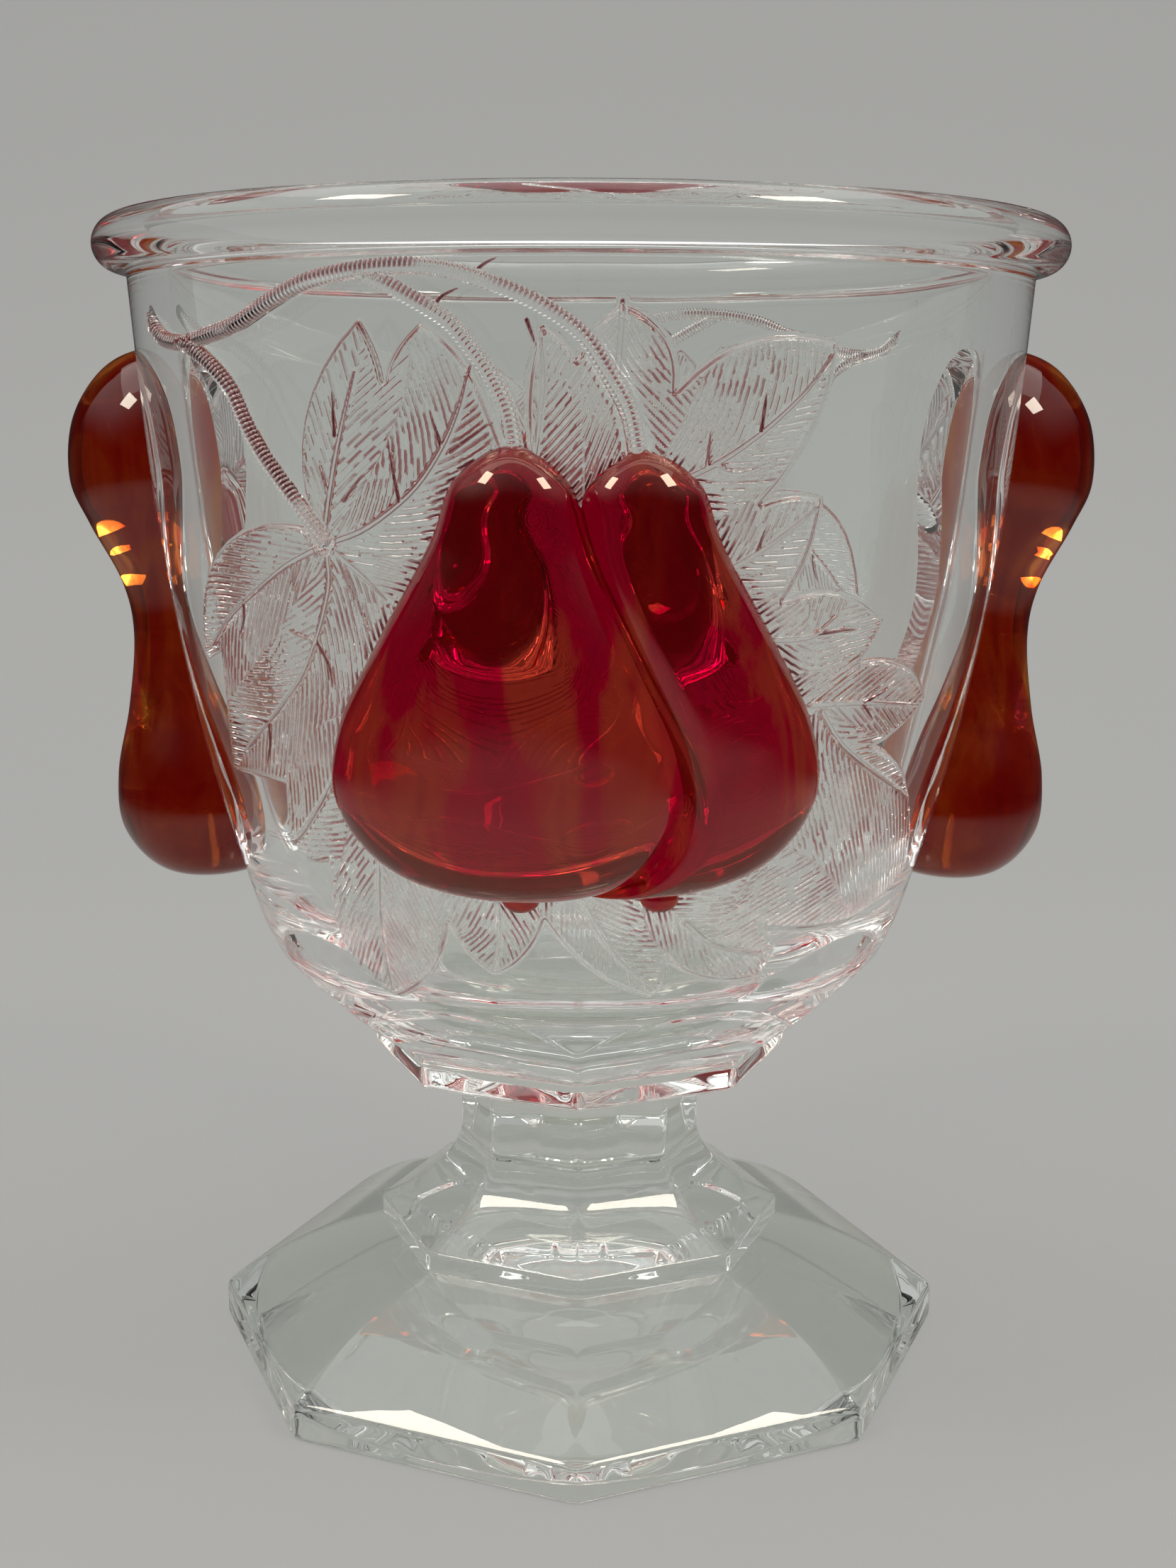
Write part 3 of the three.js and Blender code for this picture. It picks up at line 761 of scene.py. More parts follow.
def pear(turn, foot_sink, top_sink):
    """Pear whose axis lies so many mm inside the wall's face at its foot and at its top. The top
    leans in towards the other pear."""
    foot = wall_point(turn * (1 + PEAR_LEAN / 2), PEAR_FOOT, -foot_sink)
    top = wall_point(turn * (1 - PEAR_LEAN), PEAR_FOOT + PEAR_HEIGHT, -top_sink)
    profile = upright(smooth_curve(PEAR_PROFILE, 200, True))
    in_neck = step_up(profile[:, 1] / PEAR_HEIGHT, NECK_FROM, NECK_TO)
    return Turned(profile, foot, top, 1.0, PEAR_DEPTH + (NECK_DEPTH - PEAR_DEPTH) * in_neck)


def calyx(turn):
    """Small rounded tip under a pear."""
    angle = np.linspace(0, math.pi, 16)
    profile = np.stack([CALYX_RADIUS * np.sin(angle), CALYX_RADIUS * (1 - np.cos(angle))], 1)
    profile[[0, -1], 0] = 0
    centre = wall_point(turn, PEAR_FOOT - CALYX_RADIUS / 2, CALYX_RADIUS / 3)
    up = np.array([0, 0, CALYX_RADIUS])
    return Turned(profile, centre - up, centre + up, CALYX_WIDTH, 1.0)


def handle(side):
    """Handle at +X or -X, standing a little further off the wall at its foot."""
    top_height = BOWL_TOP - HANDLE_DROP
    foot_height = top_height - HANDLE_LENGTH
    foot_out = wall_radius(foot_height) + HANDLE_FOOT_STAND - HANDLE_INSET
    top_out = wall_radius(top_height) - HANDLE_TOP_SINK - HANDLE_INSET
    foot = np.array([side * foot_out, 0, foot_height])
    top = np.array([side * top_out, 0, top_height])
    return Turned(upright(smooth_curve(HANDLE_PROFILE, 180, True)), foot, top, HANDLE_WIDTH, 1.0)


OVER_SINK, UNDER_SINK, UNDER_TOP_SINK = -0.6, 1.2, 0.2
CALYX_OFF = {"left": 0.6, "right": 2.9}  # how many degrees each stands right of its pear's axis
pears = {
    "left": pear(-PEAR_TURN, OVER_SINK, OVER_SINK),
    "right": pear(PEAR_TURN, UNDER_SINK, UNDER_TOP_SINK),
}
calyxes = {
    "left": calyx(-PEAR_TURN + CALYX_OFF["left"]),
    "right": calyx(PEAR_TURN + CALYX_OFF["right"]),
}
handles = {"left": handle(-1), "right": handle(1)}
for name, body in (("pear", pears["left"]), ("handle", handles["left"])):
    print(name, "length", round(float(np.linalg.norm(body.top - body.foot)), 1), "mm")

# %% [markdown]
# A body's inner half would reach through the wall into the bowl. It is pressed flat a little way
# under the wall's face, where it stays out of sight.

# %% Root bodies in the wall
ROOT = 1.2


def outside_wall(points):
    """Height of a point above the wall's outer face."""
    return np.hypot(points[..., 0], points[..., 1]) - wall_radius(points[..., 2])


def set_height(points, height):
    """Moves points straight away from the jar's axis to a height above the wall."""
    radius = np.hypot(points[..., 0], points[..., 1])
    scale = (wall_radius(points[..., 2]) + height) / radius
    return points * np.stack([scale, scale, np.ones_like(scale)], -1)


def rooted(surface):
    """Surface whose inner part ends ROOT mm below the wall's face, where it is out of sight."""
    return set_height(surface, np.maximum(outside_wall(surface), -ROOT))


print("bodies reach", ROOT, "mm into the wall, which is over three times as thick")

# %% [markdown]
# The left pear lies on the right one, which rolls down to meet it in a groove. A boolean would
# leave a sharp crease there. Instead the right pear's height above the wall is scaled down near
# the left one. The distance is taken to a copy of the left pear that is far deeper, so that it
# counts sideways only.

# %% Roll the right pear under the left one
ROLL_WIDTH, GROOVE, DEEP = 3.4, 0.22, 2.2
deep_left = Turned(pears["left"].profile, pears["left"].foot, pears["left"].top, 1.0, DEEP)


def roll_off(points):
    """Share of its height that the right pear keeps: a quarter circle, from the groove at the
    left pear's outline up to full height at the roll's width."""
    away = deep_left.distance(points.reshape(-1, 3)).reshape(points.shape[:-1])
    away = np.clip(away / ROLL_WIDTH, -1, 1)
    rising = GROOVE + (1 - GROOVE) * np.sqrt(np.clip(1 - (1 - away) ** 2, 0, 1))
    return np.where(away > 0, rising, np.maximum(GROOVE * (1 + 3 * away), 0))


def rolled(points, raise_up=False):
    """Points above the wall brought down by the roll, or raised back to where they came from."""
    height = outside_wall(points)
    share = np.maximum(roll_off(points), 1e-3)
    moved = height / share if raise_up else height * share
    return set_height(points, np.where(height > 0, moved, height))


def right_distance(points):
    """Signed distance to the rolled pear, measured where its points were before the roll."""
    return pears["right"].distance(rolled(points, True))


fruit_distances = [pears["left"].distance, right_distance, *(c.distance for c in calyxes.values())]
print(len(fruit_distances), "bodies cut into the relief")

# %% [markdown]
# ## Bowl and rim
#
# The bowl's outer face is the section rule at work: round above, with eight flats below that meet
# it in scalloped arcs. Its wall thickens towards the floor, which works as a lens and draws the
# bands at the bottom. Two panels on its face, front and back, are left to the leaves, and where
# the panels and the handles cover it, its face is a joint.

# %% Build the bowl
FLOOR_TOP, WALL = 44.2, 4.4
DEPTH = BOWL_TOP - FLOOR_TOP
RIM_JOINT, SEAT_RADIUS = 120.9, 46.6
PANEL_WEST, PANEL_EAST, PANEL_LOW, PANEL_HIGH = -65.0, 62.5, 49.2, 120.6


def inside_wall(share, walls):
    """Point inside the wall at a share of the depth, so many wall thicknesses in."""
    height = FLOOR_TOP + DEPTH * share
    return [float(wall_radius(height)) - WALL * walls, height]


INSIDE_POINTS = [
    [0, FLOOR_TOP],
    [HIP * 0.42, FLOOR_TOP + DEPTH * 0.012],
    [HIP * 0.685, FLOOR_TOP + DEPTH * 0.054],
    inside_wall(0.123, 1.36),
    inside_wall(0.258, 1.07),
    inside_wall(0.543, 1),
    inside_wall(0.82, 1),
    [MOUTH - WALL, BOWL_TOP],
]
by_flats, above_flats = np.arange(BOWL_JOINT, PANEL_LOW, 0.3), np.linspace(PANEL_LOW, RIM_JOINT, 90)
heights = np.concatenate([by_flats, above_flats])
cone = COLLAR_CORNER + FACET_SPREAD * (heights - BOWL_BOTTOM)
outer = np.stack([wall_radius(heights), cone, heights], 1)
inner = smooth_curve(INSIDE_POINTS, 90)[::-1]
seat = fillet([(SEAT_RADIUS - 0.5, BOWL_TOP, 0), (MOUTH - WALL, BOWL_TOP, 0.4), (*inner[3], 0)])
inside = rows_round(np.concatenate([seat, inner[4:]]))
bowl_rows = np.concatenate([rows_round([[0, BOWL_JOINT]]), outer, inside])
bowl_slots = np.zeros(len(bowl_rows) - 1, int)
bowl_slots[0] = JOINT
bowl_slots[len(outer)] = JOINT
bowl = closed_grid(section_surface(bowl_rows), bowl_slots)


def panel_distance(points):
    """Negative inside the two panels that carry the relief, front and back, on the outer face."""
    azimuth = np.degrees(np.arctan2(points[:, 0], -points[:, 1]))
    back = (azimuth + 360) % 360 - 180
    across = np.min([np.maximum(PANEL_WEST - a, a - PANEL_EAST) for a in (azimuth, back)], axis=0)
    upright_way = np.maximum(PANEL_LOW - points[:, 2], points[:, 2] - PANEL_HIGH)
    off_face = -1.0 - outside_wall(points)
    return np.maximum(np.maximum(across, upright_way), off_face)


for distance in (panel_distance, handles["left"].distance, handles["right"].distance):
    bowl = cut_joint(bowl, distance)
add_piece("bowl_glass", bowl, bowl_glass, ["bowl"], "clear_glass")

# %% [markdown]
# The rim is a rolled bead, let into the top of the wall, with the ledge for a lid inside it. It is
# one closed ring: an outline with small fillets, taken once round the jar.

# %% Build the rim
RIM_ROLL, RIM_RADIUS = 2.7, 52.0

roll = np.radians(np.linspace(-90, 80, 22))
bead_out = RIM_RADIUS - RIM_ROLL + RIM_ROLL * np.cos(roll)
bead = np.stack([bead_out, BOWL_TOP + RIM_ROLL * (1 + np.sin(roll))], 1)
rim_top = BOWL_TOP + 2 * RIM_ROLL
shoulder = fillet(
    [
        (*bead[-1], 0),
        (SEAT_RADIUS + 0.9, rim_top - 0.15, 0.6),
        (SEAT_RADIUS, rim_top - 1.6, 0.7),
        (SEAT_RADIUS, BOWL_TOP, 0.4),
        (SEAT_RADIUS - 0.5, BOWL_TOP, 0),
    ]
)
wall_at_joint = float(wall_radius(RIM_JOINT))
under_corners = [(wall_at_joint, RIM_JOINT, 0), (MOUTH + 0.05, BOWL_TOP - 0.1, 0.35), (*bead[1], 0)]
under = fillet(under_corners, support=0.1)
rim_outline = np.concatenate([under, bead[2:-1], shoulder])
rim_slots = [GLASS] * (len(rim_outline) - 1) + [JOINT]
rim = closed_grid(section_surface(rows_round(rim_outline)), rim_slots, around_rows=True)
add_piece("rim_glass", rim, bowl_glass, ["rim"], "clear_glass")

# %% [markdown]
# ## Leaves and twigs
#
# The relief is a height above the wall. Each spray of leaves is a plate with a rounded edge and a
# fine bead along it, and on it lie ribs and rows of short cuts. The cuts run out from the
# nearest rib like a feather's barbs, about every 0.6 mm. It could be a displacement in the
# material, but bent light needs the true form, so the mesh has it.

# %% Lay out the sprays, as azimuth in degrees and height in hundredths of the bowl's
LEFT_SPRAY = [
    [[-31.5, 70.8]], [[-35.5, 83.1], [-23.6, 93.1]], [[-21.3, 89.7], [-20.9, 86.6]],
    [[-20.2, 89.7], [-16.7, 92.4]], [[-13, 90.9], [-10.8, 86.7]], [[-8.5, 81.9], [-6, 74]],
    [[-16, 59.4], [-20, 47.5]], [[-25, 38], [-32, 33.8]], [[-37, 30.4], [-42.5, 30.4]],
    [[-46.5, 32.1], [-43.2, 40.3]], [[-50, 40.6], [-57, 40]], [[-54, 47.5], [-52.5, 55.3]],
    [[-55, 54.6], [-57.8, 53.8]], [[-55, 67.7], [-40, 70.8]], [[-36, 71.5], [-31.5, 70.8]],
]
BOTTOM_SPRAY = [
    [[-36.5, 35]], [[-38.5, 32], [-38.3, 29.2]], [[-43.5, 17.8], [-31.0, 13.9]],
    [[-21, 17.2], [-18.9, 25.2]], [[-17.5, 20.9], [-12.6, 18.8]], [[-7, 20.4], [-4.6, 26.2]],
    [[1.5, 17.8], [11.5, 16]], [[14, 17.2], [13.8, 20.4]], [[21, 16.2], [30, 17.3]],
    [[33, 21.6], [28.4, 23.5]], [[26.5, 26.7], [25, 33.8]], [[0, 42.8], [-29, 37]],
    [[-33, 36], [-36.5, 35]],
]
RIGHT_SPRAY = [
    [[-5, 78.4]], [[-6.2, 85.5], [-3.8, 92.2]], [[-1.4, 91], [-0.2, 88.8]],
    [[1.2, 92.6], [4.6, 94.3]], [[10.8, 91.9], [10.3, 85.7]], [[17.5, 93.6], [28.6, 90.6]],
    [[28.5, 81.9], [20.6, 73.9]], [[24.5, 75.3], [28.1, 74.2]], [[27.5, 67.7], [24.2, 63.3]],
    [[32, 66], [39.8, 60.3]], [[38.6, 57.5], [37, 55.8]], [[46, 56.5], [51.7, 50.1]],
    [[48.8, 46.8], [42.0, 45.2]], [[51, 42.5], [56.2, 34.9]], [[60, 31], [61.0, 27.5]],
    [[57.5, 22.7], [45, 22.1]], [[36, 22.4], [28.5, 23.6]], [[20, 27], [14, 34]],
    [[14, 55], [2, 64]], [[-3, 68], [-5, 78.4]],
]

print(len(LEFT_SPRAY) + len(BOTTOM_SPRAY) + len(RIGHT_SPRAY) - 3, "stretches outline the leaves")

# %% [markdown]
# A leaf has long ribs, from which the cuts run out, and short dark veins. Each is a line of
# points, as azimuth in degrees and height in mm, with how dark it is and whether it is a long rib.

# %% Lay out the ribs
RIBS = [
    ([[-29.8, 95.8], [-27.9, 101.7], [-26.4, 105.7], [-24.2, 111.0]], 0.8, True),
    ([[-29.5, 95.6], [-24.2, 97.1], [-18.4, 100.4], [-14.8, 104.1], [-12.6, 107.8],
      [-11.3, 111.5]], 0.7, True),
    ([[-29.8, 95.4], [-35.1, 93.6], [-40.4, 91.2], [-47.9, 87.7], [-53.7, 84.4]], 0.7, True),
    ([[-29.5, 95.1], [-29.6, 92.1], [-31.0, 89.0], [-32.9, 86.1], [-36.2, 82.4],
      [-42.1, 78.4], [-50, 74.2]], 0.4, True),
    ([[-28.9, 95.3], [-27.9, 94.6], [-24.7, 92.6], [-22.2, 90.7]], 0.3, True),
    ([[-52, 65.0], [-44, 65.3], [-37, 69.5], [-32, 74]], 0.2, True),
    ([[-27.2, 105.4], [-27.1, 109.4]], 1.0, False),
    ([[-28.6, 100.2], [-29.5, 102.8]], 0.8, False),
    ([[-26.6, 99.6], [-24.6, 101.4], [-23.6, 101.9]], 0.9, False),
    ([[-19.7, 99.6], [-20.3, 102.6], [-20.7, 105.4]], 1.0, False),
    ([[-14.6, 104.6], [-15.7, 107.6]], 1.0, False),
    ([[-13.6, 104.1], [-9.0, 106.7]], 0.9, False),
    ([[-44.3, 89.6], [-44.9, 87.6], [-46.7, 85.7]], 1.0, False),
    ([[-34.1, 93.6], [-35.3, 91.0]], 0.5, False),
    ([[-32.6, 86.4], [-31.1, 84.0], [-31.1, 81.8]], 1.0, False),
    ([[-32.8, 86.3], [-37.0, 87.1]], 0.4, False),
    ([[-43.6, 77.6], [-44.2, 75.3], [-46.2, 72.7]], 1.0, False),
    ([[-43.6, 77.6], [-49.1, 77.8]], 1.0, False),
    ([[-27.6, 94.3], [-25.8, 90.2], [-24.9, 87.7]], 0.4, False),
    ([[-5.3, 115.4], [-4.3, 113.1]], 1.0, False),
    ([[4.5, 116.6], [4.2, 110.4], [5.7, 104.1]], 0.2, True),
    ([[-4.6, 104], [-3.6, 110], [-3.9, 114.6]], 0.2, True),
    ([[11, 101.7], [15.0, 103.2], [19.8, 105.8], [24.6, 109.3], [28, 112.8]], 0.6, True),
    ([[19.7, 105.9], [20.2, 109.7]], 1.0, False),
    ([[13.8, 102.9], [14.0, 105.8]], 0.8, False),
    ([[15.0, 103.0], [17.3, 102.4], [21.2, 103.3]], 0.3, False),
    ([[17, 93.7], [20.1, 95.1], [23.9, 97.1], [27.5, 99.3]], 0.3, True),
    ([[20.1, 95.1], [20.8, 97.2]], 0.9, False),
    ([[23.5, 87.0], [28.5, 87.2], [31.5, 89.0]], 0.4, True),
    ([[28.9, 87.4], [34.7, 87.6]], 1.0, False),
    ([[29.5, 80.5], [37.8, 80.2], [49.5, 79.1]], 0.3, True),
    ([[38.2, 80.2], [42.1, 81.3]], 1.0, False),
    ([[37.8, 80.2], [40.3, 78.3]], 1.0, False),
    ([[30.5, 80.6], [35.0, 82.7]], 0.3, False),
    ([[31.2, 79.8], [35.6, 76.1], [42.8, 72.7], [53, 69.0]], 0.4, True),
    ([[-27.6, 66.7], [-30.2, 57.9], [-31.0, 50.4]], 0.4, True),
    ([[-11.2, 61.2], [-11.3, 57.2], [-12.3, 54.3]], 0.1, True),
    ([[0.5, 61.9], [5.3, 56.1], [11.9, 51.8]], 0.1, True),
    ([[15.5, 59], [20.7, 56.2], [28.6, 54.7]], 0.3, True),
    ([[-11.2, 118.9], [-9.7, 120.0], [-8.2, 120.6]], 1.0, False),
    ([[-15.2, 116.2], [-14.3, 117.3], [-12.3, 118.1]], 1.0, False),
    ([[4.5, 117.0], [4.5, 115.5]], 1.0, False),
]

print(sum(long_rib for _, _, long_rib in RIBS), "long ribs and", len(RIBS), "lines in all")

# %% [markdown]
# Each twig runs along the wall. Two are the pears' stalks, and one leads to where the leaves meet.

# %% Lay out the twigs, as azimuth in degrees and height in hundredths of the bowl's
TWIGS = {
    "right_stalk": [
        [-60.7, 94.4], [-58.4, 92.5], [-55.6, 91.2], [-51, 90.8], [-45.9, 91.5], [-39.9, 92.8],
        [-34.6, 95], [-29, 96.9], [-21, 98], [-14.4, 97.8], [-8.5, 96.2], [-3.5, 94], [0.5, 91.2],
        [3.3, 87.2], [5.4, 83.4], [6.4, 79.1],
    ],
    "left_stalk": [
        [-24, 97.6], [-20.4, 96.4], [-16.5, 94.4], [-13.3, 92.4], [-11.2, 90], [-9.1, 87.1],
        [-7.3, 83.3], [-6.6, 79.1],
    ],
    "leaf_twig": [
        [-53, 90.9], [-49.6, 90.3], [-45.6, 88.3], [-42.4, 85.7], [-40.4, 82.3], [-38.4, 79.2],
        [-34, 74.2], [-29.4, 68.9],
    ],
}


def level(percent):
    """Height of a place on the relief, from hundredths of the bowl's height."""
    return BOWL_BOTTOM + BOWL_HEIGHT * np.asarray(percent) / 100


twig_places = {}
for name, places in TWIGS.items():
    path = smooth_curve(places, 400)
    twig_places[name] = np.stack([path[:, 0], level(path[:, 1])], 1)
print(", ".join(twig_places))

# %% [markdown]
# Distances on the relief are measured as on a flat sheet, with one degree 0.79 mm wide.

# %% Measure distances on the relief
DEGREE = 0.79


def flatten(azimuth, height):
    """Relief place in mm on the flat sheet."""
    return np.stack([np.asarray(azimuth, float) * DEGREE, np.asarray(height, float)], -1)


def along_line(place, line):
    """For each place: distance to a line of points, distance run along it, on which side, and the
    distance sideways. Past an end the run goes on, as if the line went straight ahead there."""
    start, step = line[:-1], np.diff(line, axis=0)
    length = np.hypot(*step.T)
    ran = np.concatenate([[0], np.cumsum(length)[:-1]])
    best = np.full(len(place), np.inf)
    run, side, sideways = (np.zeros(len(place)) for _ in range(3))
    for k, (a, d, l, before) in enumerate(zip(start, step, length, ran)):
        to = place - a
        straight = (to @ d) / l**2
        share = np.clip(straight, 0, 1)
        away = np.hypot(*(to - share[:, None] * d).T)
        turned = d[0] * to[:, 1] - d[1] * to[:, 0]
        past = (k == 0) & (straight < 0) | (k == len(start) - 1) & (straight > 1)
        nearer = away < best
        run = np.where(nearer, before + np.where(past, straight, share) * l, run)
        side = np.where(nearer, np.sign(turned), side)
        sideways = np.where(nearer, np.where(past, np.abs(turned) / l, away), sideways)
        best = np.where(nearer, away, best)
    return best, run, side, sideways


def depth_inside(place, outline):
    """Distance to a closed outline, positive inside it. A place is inside if a ray from it to the
    right crosses the outline an odd number of times."""
    away = along_line(place, outline)[0]
    crossings = np.zeros(len(place), int)
    for (x0, y0), (x1, y1) in zip(outline[:-1], outline[1:]):
        if y0 == y1:
            continue
        spans = (place[:, 1] > min(y0, y1)) & (place[:, 1] <= max(y0, y1))
        crossings += spans & (place[:, 0] < x0 + (place[:, 1] - y0) * (x1 - x0) / (y1 - y0))
    return np.where(crossings % 2 == 1, away, -away)


def spray_outline(spray):
    """Closed outline on the flat sheet: a quadratic bend to each tip or notch."""
    at, outline = np.array(spray[0][0], float), []
    for control, end in spray[1:]:
        outline.append(bend(at, control, end, 9)[:-1])
        at = np.array(end, float)
    outline = np.concatenate([*outline, np.array(spray[0][:1], float)])
    return flatten(outline[:, 0], level(outline[:, 1]))


outlines = [spray_outline(s) for s in (LEFT_SPRAY, BOTTOM_SPRAY, RIGHT_SPRAY)]
rib_lines = [flatten(*smooth_curve(points, 4 * len(points)).T) for points, _, _ in RIBS]
twig_lines = {name: flatten(*places[::8].T) for name, places in twig_places.items()}
print(len(outlines), "outlines,", len(rib_lines), "ribs and veins,", len(twig_lines), "twigs")

# %% [markdown]
# A cut is a narrow groove. Its place in the rows is the distance from the rib, turned by the angle
# at which the cuts leave it. The mesh holds the cuts' rows, and the material draws the same rows
# finer, so each point also carries where it lies in them, how far it is inside the leaf's edge and
# how far it is from a rib.

# %% Work out the relief
CUT_PITCH, CUT_ANGLE, CUT_DEPTH = 0.58, math.radians(33), 0.045
PLATE_RISE, RIB_RISE, BEAD_RISE = 0.5, 0.18, 0.1
RIB_HALF, VEIN_HALF = 0.24, 0.17
TWIG_RADIUS, TWIG_SINK = 0.8, 0.45


def leaf_depth(place):
    """How far a place lies inside the nearest leaf edge, in mm; negative outside all leaves."""
    depth_in = np.full(len(place), -3.0)
    for outline in outlines:
        near = (place > outline.min(0) - 1).all(1) & (place < outline.max(0) + 1).all(1)
        depth_in[near] = np.maximum(depth_in[near], depth_inside(place[near], outline))
    return depth_in


def relief(azimuth, height):
    """Height above the wall at places on the relief, with the numbers that the material reads:
    rows, run and strength of the cuts; leaf depth, distance outside the nearest rib and its
    stain; and none yet of the stain that spills off the pears."""
    place = flatten(azimuth, height)
    depth_in = leaf_depth(place)
    plate = step_up(depth_in, 0.0, 0.7)
    best, run, side, sideways, number = np.full(len(place), np.inf), *(0 * plate for _ in range(4))
    outside, dark = np.full(len(place), 3.0), 0 * plate
    for k, (line, (_, stain, long_rib)) in enumerate(zip(rib_lines, RIBS)):
        away, ran, which, off = along_line(place, line)
        gone = np.clip(ran / np.hypot(*np.diff(line, axis=0).T).sum(), 0, 1)
        taper = 1 - 0.6 * gone**2 if long_rib else np.sqrt(1.02 - gone)
        beyond = away - (RIB_HALF if long_rib else VEIN_HALF) * taper
        nearer = beyond < outside
        outside, dark = np.where(nearer, beyond, outside), np.where(nearer, stain, dark)
        if long_rib:
            nearer = away < best
            best, run = np.where(nearer, away, best), np.where(nearer, ran, run)
            side, number = np.where(nearer, which, side), np.where(nearer, k, number)
            sideways = np.where(nearer, off, sideways)
    across = (run * math.sin(CUT_ANGLE) - sideways * math.cos(CUT_ANGLE)) / CUT_PITCH
    length = run * math.cos(CUT_ANGLE) + sideways * math.sin(CUT_ANGLE) + 17 * number + 7 * side
    strength = step_up(best, 0.25, 0.6) * step_up(depth_in, 0.45, 0.8)
    clear_of_twigs = np.ones(len(place))
    for line in twig_lines.values():
        clear_of_twigs *= step_up(along_line(place, line)[0], TWIG_RADIUS, TWIG_RADIUS + 0.6)
    ridge = RIB_RISE * step_up(-outside, -0.25, 0.2)
    ridge = ridge + BEAD_RISE * np.exp(-(((depth_in - 0.5) / 0.3) ** 2))
    waves = CUT_DEPTH * strength * np.cos(2 * math.pi * across)
    rise = PLATE_RISE * plate + ridge * (depth_in > -1) + waves
    channels = [across, length, strength * clear_of_twigs, depth_in, outside, dark, 0 * rise]
    return np.maximum(rise, 0) * clear_of_twigs, np.stack(channels, 1)


# %% [markdown]
# Each panel is a thin slab: its face is the relief, its back lies inside the wall, and both are
# closed into one mesh. The back needs no detail, so its rings halve their points as they shrink.


# %% Close the back of a slab
def slab_back(ring, spot, first):
    """Closes a slab behind a ring of point numbers at (azimuth, height) spots. Each ring has half
    the points of the last, and a single point closes the smallest. Numbers count from `first`."""
    centre, shrinks = spot.mean(0), (1.0, 0.94, 0.84, 0.68, 0.45, 0.2, 0.0)
    spots, faces = [], []
    for last, shrink in zip((1.0,) + shrinks, shrinks):
        halved = spot if shrink == 1 else spot[:1] if shrink == 0 else spot[::2]
        new = first + np.arange(len(halved))
        ring_on, new_on = np.roll(ring, -1), np.roll(new, -1)
        if shrink == 1:
            triangles = (ring, new, new_on), (ring, new_on, ring_on)
        elif shrink == 0:
            triangles = ((ring, np.full(len(ring), new[0]), ring_on),)
        else:
            a, b, after = ring[0::2], ring[1::2], np.roll(ring, -2)[0::2]
            triangles = (a, new, b), (b, new, new_on), (b, new_on, after)
        faces += [np.stack(corners, 1) for corners in triangles]
        spot = centre + (halved - centre) * shrink / last if shrink else centre[None]
        spots.append(spot)
        ring, first = new, first + len(new)
    return np.concatenate(spots), np.concatenate(faces)


turn = np.linspace(0, 2 * math.pi, 256, endpoint=False)
circle = np.stack([np.cos(turn), np.sin(turn)], 1)
behind = slab_back(np.arange(256), circle, 256)[1]
print("behind a ring of 256 points lie", len(behind), "triangles")

# %% Cut one panel
PANEL_STEP = 0.19


def panel(west, east, low, high):
    """Closed slab over a part of the relief. Returns points with channels, triangles and slots."""
    across = int(round((east - west) * DEGREE / PANEL_STEP / 32)) * 32
    up = int(round((high - low) / PANEL_STEP / 32)) * 32
    sides = np.linspace(west, east, across + 1), np.linspace(low, high, up + 1)
    azimuth, height = (grid.ravel() for grid in np.meshgrid(*sides))
    rise, channels = relief(azimuth, height)
    to_side = np.minimum(azimuth - PANEL_WEST, PANEL_EAST - azimuth) * DEGREE
    to_end = np.minimum(height - PANEL_LOW, PANEL_HIGH - height)
    rise *= step_up(np.minimum(to_side, to_end), 0.0, 0.4)
    face = on_cylinder(wall_radius(height) + rise, np.radians(azimuth), height)
    to_fruit = np.min([distance(face) for distance in fruit_distances], axis=0)
    channels[:, 6] = step_up(-to_fruit, -1.6, -0.2)
    index = np.arange(len(face)).reshape(up + 1, across + 1)
    ring = np.concatenate([index[0, :-1], index[:-1, -1], index[-1, :0:-1], index[:0:-1, 0]])
    spots, back_faces = slab_back(ring, np.stack([azimuth[ring], height[ring]], 1), len(face))
    back = on_cylinder(wall_radius(spots[:, 1]) - ROOT, np.radians(spots[:, 0]), spots[:, 1])
    front_faces = triangulate(index)
    channels = np.concatenate([channels, np.zeros((len(back), 7))])
    points = np.hstack([np.concatenate([face, back]), channels])
    slot = np.repeat([GLASS, JOINT], [len(front_faces), len(back_faces)])
    return tidy_points(points, np.concatenate([front_faces, back_faces]), slot)


def twig_distance(points):
    """Distance from the nearest twig's surface, negative inside it."""
    azimuth = np.degrees(np.arctan2(points[:, 0], -points[:, 1]))
    place = flatten(azimuth, points[:, 2])
    out = outside_wall(points) - (TWIG_RADIUS - TWIG_SINK)
    away = np.min([along_line(place, line)[0] for line in twig_lines.values()], axis=0)
    return np.hypot(away, out) - TWIG_RADIUS


across_middle = relief(np.linspace(PANEL_WEST, PANEL_EAST, 50), np.full(50, 80.0))[0]
print("across its middle the relief stands up to", round(float(across_middle.max()), 2), "mm high")

# %% [markdown]
# The relief is three panels, as the CAD model has three sprays of leaves. The cuts end where a
# pear, a calyx or a twig lies on them, and from there on the panel's face is a joint.

# %% Build the panels
SPLIT_ACROSS, SPLIT_UP = -7.0, 61.2
PANELS = {
    "leaves_left": (PANEL_WEST, SPLIT_ACROSS, SPLIT_UP, PANEL_HIGH),
    "leaves_right": (SPLIT_ACROSS, PANEL_EAST, SPLIT_UP, PANEL_HIGH),
    "leaves_bottom": (PANEL_WEST, PANEL_EAST, PANEL_LOW, SPLIT_UP),
}


def half_turn(mesh):
    """The same mesh on the back of the jar."""
    points, faces, slot = mesh
    turned = points.copy()
    turned[:, :2] *= -1
    return turned, faces, slot


